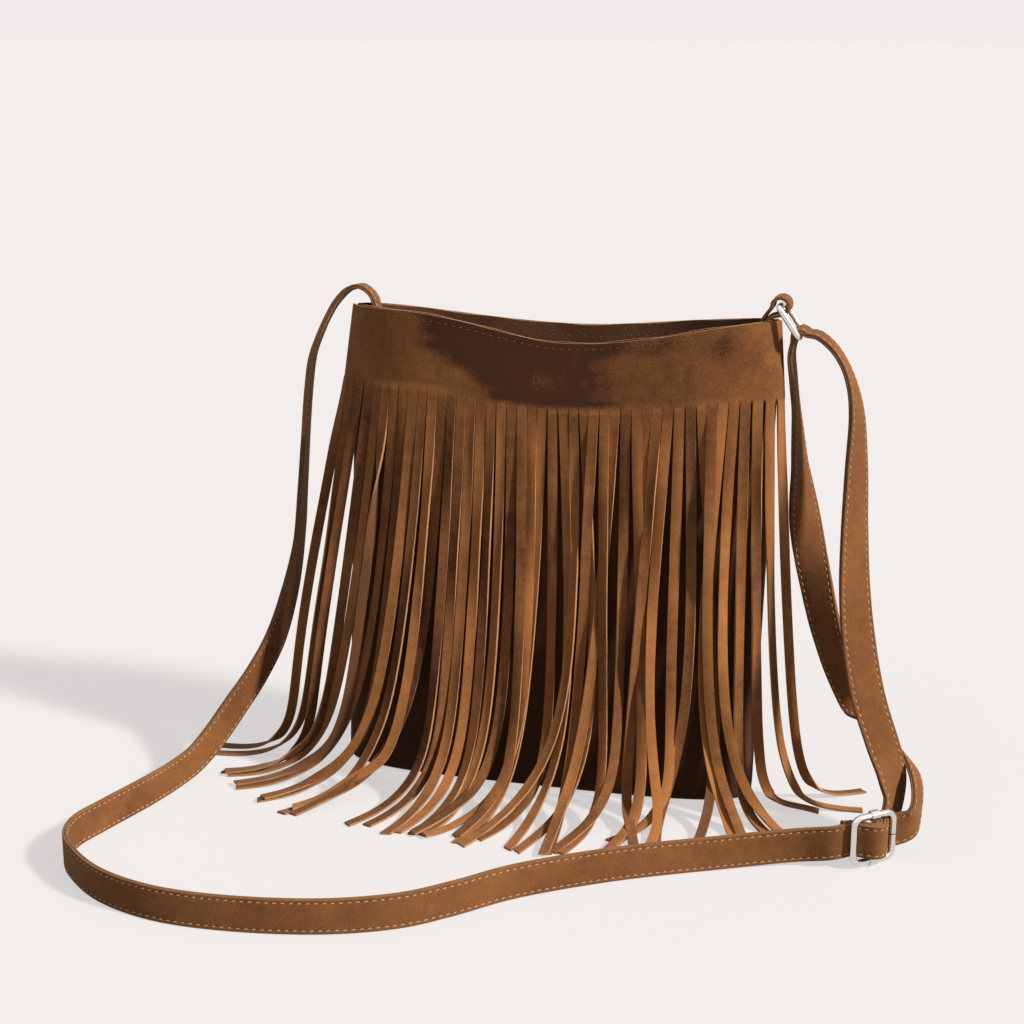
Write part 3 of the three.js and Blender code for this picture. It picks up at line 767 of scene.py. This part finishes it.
def lining_cup():
    """Two half shells, joined along the seams and the base."""
    bm = bmesh.new()
    inset = -(SUEDE + GAP + LINING / 2)
    for side in (-1, 1):
        half_shell(bm, side, inset, lambda x: 0 * x + BODY_HEIGHT - LINING_DROP, 60)
    bmesh.ops.remove_doubles(bm, verts=bm.verts, dist=0.4 * MM)
    return thickened(to_object("lining_bag", bm, [LINING_CLOTH]), LINING)


# the front panel wears the suede darkened as painted shade
body_front = body_half("body_panel_front", -1, lambda x: front_lip(x) - UNDER_LIP, SHADED_BODY_FACE)
body_back = body_half("body_panel_back", 1, back_lip, BACK_FACE)
facing_front = facing("facing_strip_front", -1, front_lip)
facing_back = facing("facing_strip_back", 1, back_lip)
lining = lining_cup()


# ---- fringed panel
YOKE = 1.5 * MM
YOKE_OUT = GAP + YOKE / 2
YOKE_DROP = 42 * MM
YOKE_END = 0.12  # plan angle from the seam to the panel's end
YOKE_FLARE = 4.5 * MM  # how far the yoke's two ends stand off the body at the slits
SLITS_LEVEL = 0.4  # how far the row of slits runs level instead of along the sagging lip
STRANDS = 44
SLIT = 0.45 * MM
STRAND_LENGTH = 288 * MM
LINKS = 58  # of each strand while it settles
STRAND_ROWS = 112
STRAND_COLUMNS = 4
YOKE_ROWS = 18
LAYING = 1.5 * MM  # between the middles of two strands that lie on each other
ON_FLOOR = 0.75 * MM  # the middle of a strand that lies flat
BUNCHES = 19  # of tips that lie close together
NEAR_STRANDS = 9  # how many neighbours, and how many of their links, a strand can touch
NEAR_LINKS = 9
SETTLE_STEPS = 50
SMOOTH_STEPS = 4
SINK = 0.03 * MM  # fall in a step
STIFFNESS = 0.1

# A share of the yoke from its left end, then where the tips of the strands cut there lie on the floor.
TIPS = np.array([
    (0.00, -0.209, 0.030),
    (0.03, -0.205, -0.022),
    (0.06, -0.192, -0.044),
    (0.12, -0.176, -0.066),
    (0.19, -0.148, -0.090),
    (0.27, -0.110, -0.100),
    (0.30, -0.072, -0.107),
    (0.40, -0.045, -0.106),
    (0.55, -0.002, -0.108),
    (0.68, 0.036, -0.105),
    (0.80, 0.092, -0.090),
    (0.88, 0.130, -0.074),
    (0.93, 0.158, -0.050),
    (0.943, 0.168, -0.018),
    (0.966, 0.188, -0.008),
    (1.00, 0.184, 0.036),
])

yoke_low = BODY_HEIGHT - YOKE_DROP
edge_angles = np.linspace(math.pi - YOKE_END, YOKE_END, 800)
edge_lengths = lengths_along(on_outline(edge_angles, yoke_low + 0 * edge_angles, YOKE_OUT))
EDGE_LENGTH = edge_lengths[-1]
PITCH = EDGE_LENGTH / STRANDS


def angle_at(share):
    return np.interp(share, edge_lengths / EDGE_LENGTH, edge_angles)


def slit_height(x):
    return lerp(front_lip(x), BODY_HEIGHT, SLITS_LEVEL) - YOKE_DROP


def on_yoke(u, v):
    """The yoke's surface: u along it, v from the ends of the slits to the lip."""
    angle = angle_at(u)
    x = on_outline(angle, yoke_low + 0 * u, YOKE_OUT)[..., 0]
    flare = YOKE_FLARE * (1 - v) * smoothstep(1 - np.minimum(u, 1 - u) / 0.1)
    return on_outline(angle, lerp(slit_height(x), front_lip(x), v), YOKE_OUT + flare)


def first_lines(shares, tips, bulge, sway, knee, lengths):
    """A Bezier line for each strand, with a foot that gives it the right length."""
    roots = on_yoke(shares, 0 * shares)
    reach = tips - roots
    high = roots + outward(roots) * bulge[:, None] * 0.6
    high[:, 0] += 0.5 * sway[0]
    high[:, 2] -= 0.095
    low = roots + outward(roots) * bulge[:, None] + reach * (0.06, 0.04, 0)
    low[:, 0] += sway[0]
    low[:, 2] = knee
    bend = low + reach * (0.1, 0.1, 0)
    bend[:, 2] = 0.3 * knee
    even = np.linspace(0, 1, LINKS + 1)
    t = even[None, :, None]
    weights = [math.comb(5, i) * (1 - t) ** (5 - i) * t ** i for i in range(6)]
    near, far = np.zeros(STRANDS), np.ones(STRANDS)
    for _ in range(14):
        k = (near + far) / 2
        foot = roots + reach * (0.16 + 0.76 * k)[:, None]
        foot[:, 0] += sway[1]
        foot[:, 2] = 0.003 + 0.035 * k
        points = (roots, high, low, bend, foot, tips)
        lines = sum(c * p[:, None] for c, p in zip(weights, points))
        short = np.linalg.norm(np.diff(lines, axis=1), axis=2).sum(1) < lengths
        far = np.where(short, k, far)
        near = np.where(short, near, k)
    return np.stack([resampled(line, even * lengths_along(line)[-1]) for line in lines])


def outward(places):
    """The body's outward direction beside each place, level with the floor."""
    c = np.clip((places[..., 0] - centre_x(places[..., 2])) / half_width(places[..., 2]), -1, 1)
    slope = np.stack([
        2 * c ** 3 / half_width(places[..., 2]), places[..., 1] / half_depth(places[..., 2]) ** 2,
        np.zeros_like(c),
    ], -1)
    return unit(slope + (0, -1e-9, 0))


def keep_off_body(p, room):
    """Pushes places out of the body's plan outline, grown by room."""
    wide = half_width(p[..., 2]) + room
    deep = half_depth(p[..., 2]) + room
    c = (p[..., 0] - centre_x(p[..., 2])) / wide
    inside = c ** 4 + (p[..., 1] / deep) ** 2 - 1
    slope = np.stack([4 * c ** 3 / wide, 2 * p[..., 1] / deep ** 2], -1)
    push = np.clip(-inside / (np.sum(slope ** 2, -1) + 1e-6), 0, None) * (inside < 0)
    p[..., :2] += capped(slope * push[..., None], 4 * MM)


def part_strands(p, normal, layer, turned):
    """Moves strands that lie in each other apart, in the order of their layers."""
    move = np.zeros_like(p)
    for dj in range(1, NEAR_STRANDS + 1):
        order = np.sign(layer[dj:] - layer[:-dj])[:, None]
        for dk in range(-NEAR_LINKS, NEAR_LINKS + 1):
            a = (slice(None, -dj), slice(max(0, -dk), LINKS + 1 - max(0, dk)))
            b = (slice(dj, None), slice(max(0, dk), LINKS + 1 + min(0, dk)))
            n = unit(normal[a] + normal[b])
            gap = p[b] - p[a]
            apart = np.sum(gap * n, -1)
            beside = np.linalg.norm(gap - apart[..., None] * n, axis=-1)
            wide = PITCH * (0.86 - 0.33 * (turned[a] + turned[b]))
            need = LAYING + 1.3 * MM * (turned[a] + turned[b])
            short = np.clip(need - order * apart, 0, 1.5 * MM) * (beside < wide)
            step = (0.25 * short * order)[..., None] * n
            move[b] += step
            move[a] -= step
    p += capped(move, 0.8 * MM)


def hold_lengths(p, link):
    """Brings each link back to its length, down the strand and up again; the first one is fixed."""
    for k in [*range(1, LINKS), *range(LINKS - 1, 0, -1)]:
        gap = p[:, k + 1] - p[:, k]
        long = np.linalg.norm(gap, axis=1, keepdims=True)
        fix = gap * (1 - link / long)
        p[:, k] += fix / 2 * (k > 1)
        p[:, k + 1] -= fix * (0.5 if k > 1 else 1)


def settle(p, tips, lengths, layer, turned):
    """Lets the strands come to rest on the body, on the floor and on each other."""
    link = lengths[:, None] / LINKS
    pinned = p[:, :2].copy()
    pull = smoothstep((np.arange(LINKS + 1) / LINKS - 0.9) / 0.1)[None, :, None]
    room = (1.9 + 2.0 * turned) * MM
    for step in range(SETTLE_STEPS):
        normal = outward(p)
        flat = smoothstep((0.03 - p[..., 2:]) / 0.025)
        normal = unit(lerp(normal, UP, flat))
        p[:, 2:, 2] -= SINK
        p[:, 1:-1] += STIFFNESS * (p[:, :-2] + p[:, 2:] - 2 * p[:, 1:-1])
        p += 0.03 * pull * (tips - p[:, -1])[:, None]
        if step % 2 == 0:
            part_strands(p, normal, layer, turned)
        keep_off_body(p, room)
        p[..., 2] = np.maximum(p[..., 2], ON_FLOOR)
        p[:, :2] = pinned
        hold_lengths(p, link)
    for _ in range(SMOOTH_STEPS):
        p[:, 2:-1] += 0.3 * (p[:, 1:-2] + p[:, 3:] - 2 * p[:, 2:-1])
        keep_off_body(p, room)
        p[..., 2] = np.maximum(p[..., 2], ON_FLOOR)
    return p


def strand_plan():
    """Each strand's own tip, outward bulge, sway, layer and twist, from seeded draws."""
    shares = (np.arange(STRANDS) + 0.5) / STRANDS
    bunched = lerp(shares, (np.floor(shares * BUNCHES) + 0.5) / BUNCHES, 0.7 * (shares < 0.9))
    tips = [np.interp(bunched, TIPS[:, 0], TIPS[:, k]) for k in (1, 2)]
    tips = np.stack([*tips, 0 * shares + 0.0008], 1)
    wild = smoothstep((shares - 0.35) / 0.3) * (1 - 0.9 * smoothstep((shares - 0.88) / 0.05))
    draws = np.array([[random.uniform(-1, 1) for _ in range(9)] for _ in range(STRANDS)])
    tips[:, 0] += draws[:, 0] * lerp(3, 28, wild) * MM
    tips[:, 1] += draws[:, 1] * lerp(5, 9, wild) * MM
    left = np.clip(1 - shares / 0.45, 0, 1)
    right = np.clip(1 - (1 - shares) / 0.1, 0, 1)
    bulge = (6 + 4 * draws[:, 2] + 14 * left + 5 * right) * MM
    sway = (
        (draws[:, 3] * lerp(2, 15, wild) - 13 * left) * MM,
        (draws[:, 4] * lerp(4, 22, wild) - 4 * left) * MM,
    )
    knee = (70 + 14 * draws[:, 7]) * MM
    layer = draws[:, 2] + 0.02 * np.arange(STRANDS) / STRANDS
    lengths = STRAND_LENGTH + (4 * draws[:, 8] + 13 * (shares > 0.93)) * MM
    return shares, (tips, bulge, sway, knee, lengths), layer, draws


def twists(draws):
    """Twist along each strand in radians, from its root to its tip."""
    s = np.linspace(0, 1, LINKS + 1)
    angles = np.zeros((STRANDS, LINKS + 1))
    for i, draw in enumerate(draws):
        kind = abs(draw[5])
        if kind < 0.72:
            swing = 0.42 * draw[6]
        elif kind < 0.94:
            swing = math.copysign(lerp(0.5, 1.25, abs(draw[6])), draw[5])
        else:
            swing = math.copysign(2.9, draw[5])
        share = (i + 0.5) / STRANDS
        to_front = 0.9 * max(0, 1 - (1 - share) / 0.08) - max(0, 1 - share / 0.15)
        angles[i] = to_front * smoothstep(s / 0.3)
        start = lerp(0.02, 0.3, abs(draw[7]))
        angles[i] += swing * smoothstep((s - start) / 0.35)
        angles[i] += 0.35 * draw[8] * np.sin(2 * math.pi * (s * 1.6 + draw[7])) * smoothstep(s / 0.2)
    return angles


def strand_frames(p, angles):
    """The direction across each strand, carried along it, twisted and laid flat on the floor."""
    along = unit(np.gradient(p, axis=1))
    root = on_yoke(np.arange(STRANDS) / STRANDS, np.zeros(STRANDS))
    tip = on_yoke((np.arange(STRANDS) + 1) / STRANDS, np.zeros(STRANDS))
    carried = unit(tip - root)
    across = np.zeros_like(p)
    for k in range(p.shape[1]):
        carried = squared(carried, along[:, k])
        across[:, k] = carried
    normal = np.cross(along, across)
    turned = np.cos(angles)[..., None] * across + np.sin(angles)[..., None] * normal
    flat = np.cross(along, UP)
    level = np.linalg.norm(flat, axis=-1, keepdims=True)
    flat = flat / (level + 1e-6)
    low = smoothstep((0.016 - p[..., 2]) / 0.012)
    sign = np.sign(np.sum(turned * flat * low[..., None], (1, 2)) + 1e-9)
    blend = (low * smoothstep((level[..., 0] - 0.35) / 0.4))[..., None]
    return unit(lerp(turned, flat * sign[:, None, None], blend)), along


def yoke_darkening(u, v):
    """The yoke is darker in one broad patch, less so low in its middle, and in two small spots, and slightly
    darker beyond its left fifth.
    """
    wobble = 0.012 * np.sin(11 * v + 26 * u) + 0.006 * np.sin(23 * v - 41 * u + 1)
    left = 0.16 + 0.17 * smoothstep((0.7 - v) / 0.6) + wobble
    right = 0.73 - 0.06 * np.sin(math.pi * v) + wobble
    patch = smoothstep((u - left) / 0.1) * smoothstep((right - u) / 0.18) * smoothstep((v + 0.04) / 0.08)
    patch -= 0.35 * np.exp(-((u - 0.5) / 0.06) ** 2 - ((v - 0.3) / 0.3) ** 2)
    spot = np.exp(-((u - 0.87) / 0.03) ** 2 - ((v - 0.74) / 0.16) ** 2)
    spot += 0.7 * np.exp(-((u - 0.74) / 0.07) ** 2 - ((v - 0.86) / 0.1) ** 2)
    return -0.66 * patch - 0.32 * spot - 0.08 * smoothstep((u - 0.2) / 0.2)


def cut_panel():
    """The flat panel, one grid of STRANDS strips below an uncut yoke, its slits opened. With it come each
    corner's share of the width, its row above the tips and its strip."""
    bm = bmesh.new()
    rows = STRAND_ROWS + YOKE_ROWS
    long = STRAND_LENGTH + YOKE_DROP
    grid_piece(
        bm, STRANDS * STRAND_COLUMNS, rows, lambda u, v: np.stack([u, v, 0 * u], 1),
        ((0, -long), (EDGE_LENGTH, long)),
    )
    column = {v: round(v.co.x * STRANDS * STRAND_COLUMNS) for v in bm.verts}
    row = {v: round(v.co.y * rows) for v in bm.verts}
    slits = [
        e for e in bm.edges
        if column[e.verts[0]] == column[e.verts[1]] and column[e.verts[0]] % STRAND_COLUMNS == 0
        and max(row[v] for v in e.verts) <= STRAND_ROWS and not e.is_boundary
    ]
    bmesh.ops.split_edges(bm, edges=slits)
    bm.verts.index_update()
    strip = np.zeros(len(bm.verts), int)
    for face in bm.faces:
        middle = face.calc_center_median()
        for vert in face.verts:
            strip[vert.index] = int(middle.x * STRANDS)
    flat = np.array([v.co for v in bm.verts])
    return bm, flat[:, 0], np.rint(flat[:, 1] * rows).astype(int), strip


def fringe():
    shares, shape, layer, draws = strand_plan()
    angles = twists(draws)
    turned = np.abs(np.sin(angles))
    lines = settle(first_lines(shares, *shape), shape[0], shape[-1], layer, turned)
    spread = np.linspace(0, 1, LINKS + 1)
    even = np.linspace(0, 1, STRAND_ROWS + 1)
    smooth = [spline_through(line, spread[:, None])[0] for line in lines]
    p = np.stack([resampled(line, even * lengths_along(line)[-1]) for line in smooth])
    fine_angles = np.stack([np.interp(even, spread, angle) for angle in angles])
    across, along = strand_frames(p, fine_angles)
    normal = np.cross(along, across)

    bm, u, row, i = cut_panel()
    k = np.clip(STRAND_ROWS - row, 0, None)
    off = np.clip(u * STRANDS - i, 0, 1) - 0.5
    width = PITCH - SLIT * (1 + 0.5 * draws[i, 6])
    bow = 0.35 * MM * draws[i, 4] * (1 - 4 * off ** 2) * smoothstep(k / 12)
    slant = 3 * MM * draws[i, 3] * off * (k == STRAND_ROWS)
    strands = p[i, k] + across[i, k] * (off * width)[:, None] + normal[i, k] * bow[:, None]
    strands += along[i, k] * slant[:, None]
    up = np.clip((row - STRAND_ROWS) / YOKE_ROWS, 0, 1)
    places = np.where((row >= STRAND_ROWS)[:, None], on_yoke(u, up), strands)
    down = k / STRAND_ROWS
    # Each strand's own tone is drawn at random and swings a little along it; the strands on the right half
    # are made lighter as painted light from the side the key lamp shines from.
    own = 0.3 * draws[i, 7] + 0.15 * smoothstep((shares[i] - 0.5) / 0.4)
    shade = own * np.minimum(1, down * 12) + 0.12 * np.sin(9 * down + 5 * draws[i, 8]) * (k > 0)
    shade = np.where(row >= STRAND_ROWS, yoke_darkening(u, up), shade)
    tone_and_painted_light = bm.verts.layers.float.new("tone_and_painted_light")
    for vert, place, value in zip(bm.verts, places, shade):
        vert.co = place
        vert[tone_and_painted_light] = value
    piece = to_object("fringe_panel_cut", bm, [FRINGE_FACE, FRINGE_BACK, FRINGE_EDGE])
    return thickened(piece, YOKE - 0.2 * MM, 1, 2)


fringe_panel = fringe()


# ---- stitching on the mouth
MOUTH_PITCH = 4.6 * MM
INSIDE = -(SUEDE + GAP + FACING)


def mouth_row(side, lip, out, drop, face):
    """A row of stitches some way below a lip: face is 1 on the outside and -1 on the inside."""
    angle = np.linspace(math.pi - 0.2, 0.2, 400)
    x = on_outline(angle, BODY_HEIGHT + 0 * angle, out, side)[:, 0]
    places = on_outline(angle, lip(x) - drop, out, side)
    along = tangents_along(places)
    return places, along, unit(-side * np.cross(along, UP)) * face, MOUTH_PITCH


mouth_rows = [
    mouth_row(-1, front_lip, GAP + YOKE - 0.02 * MM, 3.4 * MM, 1),
    mouth_row(-1, front_lip, INSIDE, 6 * MM, -1),
    mouth_row(1, back_lip, 0.02 * MM, 7 * MM, 1),
    mouth_row(1, back_lip, INSIDE, 7 * MM, -1),
]
mouth_seams = stitches("mouth_stitching", mouth_rows, (1.9 * MM, 0.45 * MM, 0.3 * MM), LIP_THREAD)


# ---- hardware
def rounded_rectangle(width, height, corner, turns=8):
    """Places round a rounded rectangle, from the middle of its right side."""
    places = [(width / 2, 0)]
    for quarter, (sx, sy) in enumerate(((1, 1), (-1, 1), (-1, -1), (1, -1))):
        for i in range(turns + 1):
            a = math.pi / 2 * (quarter + i / turns)
            x = sx * (width / 2 - corner) + corner * math.cos(a)
            y = sy * (height / 2 - corner) + corner * math.sin(a)
            places.append((x, y))
    return places


def ring_piece():
    down = RING_FOOT - RING_TOP
    tall = np.linalg.norm(down)
    middle = (RING_FOOT + RING_TOP) / 2
    outline = rounded_rectangle(RING_OPENING + 2 * RING_WIRE, tall, 2.6 * MM)
    places = [middle + np.array((0, a, 0)) + b * down / tall for a, b in outline]
    return wire("strap_ring", places, RING_WIRE, True, NICKEL)


def slider_frame_piece():
    outline = rounded_rectangle(SLIDER_LENGTH, SLIDER_HEIGHT, 4.5 * MM)
    half_gap = 0.25 * MM
    outline[0] = (SLIDER_LENGTH / 2, half_gap)
    outline.append((SLIDER_LENGTH / 2, -half_gap))
    places = [in_slider(a, 0, b) for a, b in outline]
    return wire("slider_wire", places, SLIDER_WIRE, False, NICKEL)


def sleeve(bm, up):
    """The centre bar's end, wrapped round a rail."""
    hole, rim, half, round_ = SLIDER_WIRE + 0.05 * MM, SLIDER_WIRE + 1.1 * MM, 2.5 * MM, 0.35 * MM
    profile = [
        (hole, -half), (rim - round_, -half), (rim, -half + round_), (rim, half - round_),
        (rim - round_, half), (hole, half),
    ]
    corners = [bm.verts.new(in_slider(a, 0, up + r)) for r, a in profile]
    edges = [bm.edges.new((corners[k], corners[(k + 1) % len(corners)])) for k in range(len(corners))]
    bmesh.ops.spin(
        bm, geom=corners + edges, cent=in_slider(0, 0, up), axis=SLIDER_ALONG, angle=2 * math.pi,
        steps=28, use_merge=True, use_duplicate=False,
    )


def slider_bar_piece():
    reach = SLIDER_HEIGHT / 2 - SLIDER_WIRE - 0.4 * MM
    places = [in_slider(0, 0, b) for b in (-reach, 0, reach)]
    piece = wire("slider_centre_bar", places, SLIDER_BAR, False, NICKEL)
    bm = bmesh.new()
    bm.from_mesh(piece.data)
    for up in (-SLIDER_HEIGHT / 2, SLIDER_HEIGHT / 2):
        sleeve(bm, up)
    close_up(bm)
    bm.to_mesh(piece.data)
    bm.free()
    smooth(piece.data, 40)
    return piece


TAB_WIDTH = 15 * MM
TAB_THICK = 1.9 * MM
TAB_LOOP = 4.7 * MM  # radius of the tab's middle line round the ring's upper bar


def tab_section():
    a, o, r = TAB_WIDTH / 2, TAB_THICK / 2, 0.35 * MM
    quarter = [
        (a, 0), (a, o - r), (a - r, o), (a - 1.4 * MM, o), (a - 1.8 * MM, o - 0.12 * MM),
        (a - 2.2 * MM, o), (0, o),
    ]
    face = quarter + [(-x, y) for x, y in quarter[-2::-1]]
    return face + [(-x, -y) for x, y in face[1:-1]]


def tab_piece():
    x, z = RING_TOP[0], RING_TOP[2]
    tab_low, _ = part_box("ring_tab")
    inner = tab_low.x + TAB_THICK / 2 + 0.1 * MM
    outer = inner + TAB_THICK + 0.15 * MM
    loop = [
        (x + TAB_LOOP * math.cos(a), z + TAB_LOOP * math.sin(a))
        for a in np.radians(np.linspace(185, -80, 12))
    ]
    spine = [
        (inner, tab_low.z), (inner, tab_low.z + 9 * MM), (inner, z - 14 * MM), (inner + 1.4 * MM, z - 7 * MM),
        *loop,
        (outer + 1.5 * MM, z - 7.5 * MM), (outer, z - 14 * MM), (outer, tab_low.z + 9 * MM),
        (outer, tab_low.z),
    ]
    stations = np.array([(px, 0, pz, 0, -1, 0) for px, pz in spine])
    fine, edges = spline_through(stations[:, :3], stations[:, 3:])
    at = np.linspace(0, lengths_along(fine)[-1], 110)
    places, edges = resampled(fine, at, edges)
    return band("ring_loop_tab", places, edges, tab_section(), [STRAP_FACE])


ring = ring_piece()
slider_wire = slider_frame_piece()
slider_bar = slider_bar_piece()
tab = tab_piece()


# ---- each piece hung on its body, with the part it stands for hidden
def settle_in(piece, body, slot, *nodes):
    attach(piece, body)
    if nodes:
        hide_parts(*nodes)


settle_in(body_front, "bag", "body_suede", "body_front")
settle_in(body_back, "bag", "body_suede", "body_back")
settle_in(facing_front, "bag", "facing_suede", "facing_front")
settle_in(facing_back, "bag", "facing_suede", "facing_back")
settle_in(lining, "bag", "lining_cloth", "lining")
settle_in(fringe_panel, "bag", "fringe_suede", "fringe_panel")
settle_in(mouth_seams, "bag", "body_suede")
settle_in(tab, "bag", "strap_suede", "ring_tab")
settle_in(ring, "ring", "nickel", "ring")
settle_in(slider_wire, "bag", "nickel", "slider_frame")
settle_in(slider_bar, "bag", "nickel", "slider_bar")

for piece in (strap, strap_seams):
    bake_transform(piece)
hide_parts("strap")


# ---- floor and light
def looked_at(tree):
    """1 for what the camera or a reflection sees, 0 for the light that lands on the bag."""
    path = node(tree, "LightPath").outputs
    return sum_node(tree, "ADD", path["Is Camera Ray"], path["Is Glossy Ray"], clamp=True)


def floor():
    bm = bmesh.new()
    bmesh.ops.create_grid(bm, x_segments=1, y_segments=1, size=60)
    material, tree, surface = shader("pale_floor")
    fill(tree, surface, {
        "Base Color": (0.25, 0.243, 0.24),
        "Roughness": 0.95,
        "Specular IOR Level": 0,
        "Emission Color": (1.0, 0.965, 0.955),
        "Emission Strength": sum_node(tree, "MULTIPLY", looked_at(tree), 0.585),
    })
    to_object("floor", bm, [material])


def sun(name, towards, strength, size, colour):
    lamp = bpy.data.lights.new(name, "SUN")
    lamp.energy = strength
    lamp.angle = math.radians(size)
    lamp.color = colour
    holder = bpy.data.objects.new(name, lamp)
    holder.rotation_euler = Vector(towards).to_track_quat("Z", "Y").to_euler()
    scene.collection.objects.link(holder)


def room():
    """A room that lights the bag dimly and is seen as pale as the floor."""
    world = bpy.data.worlds.new("room")
    world.use_nodes = True
    tree = world.node_tree
    shown = mixed(tree, looked_at(tree), (0.17, 0.168, 0.167), (0.871, 0.84, 0.832))
    tree.links.new(shown, tree.nodes["Background"].inputs["Color"])
    scene.world = world


floor()
sun("key", (0.805, -0.185, 0.564), 4.7, 6, (1.0, 0.96, 0.91))
sun("top", (0, -0.25, 1), 0.7, 100, (1.0, 0.99, 0.98))
room()
scene.view_settings.view_transform = "Standard"
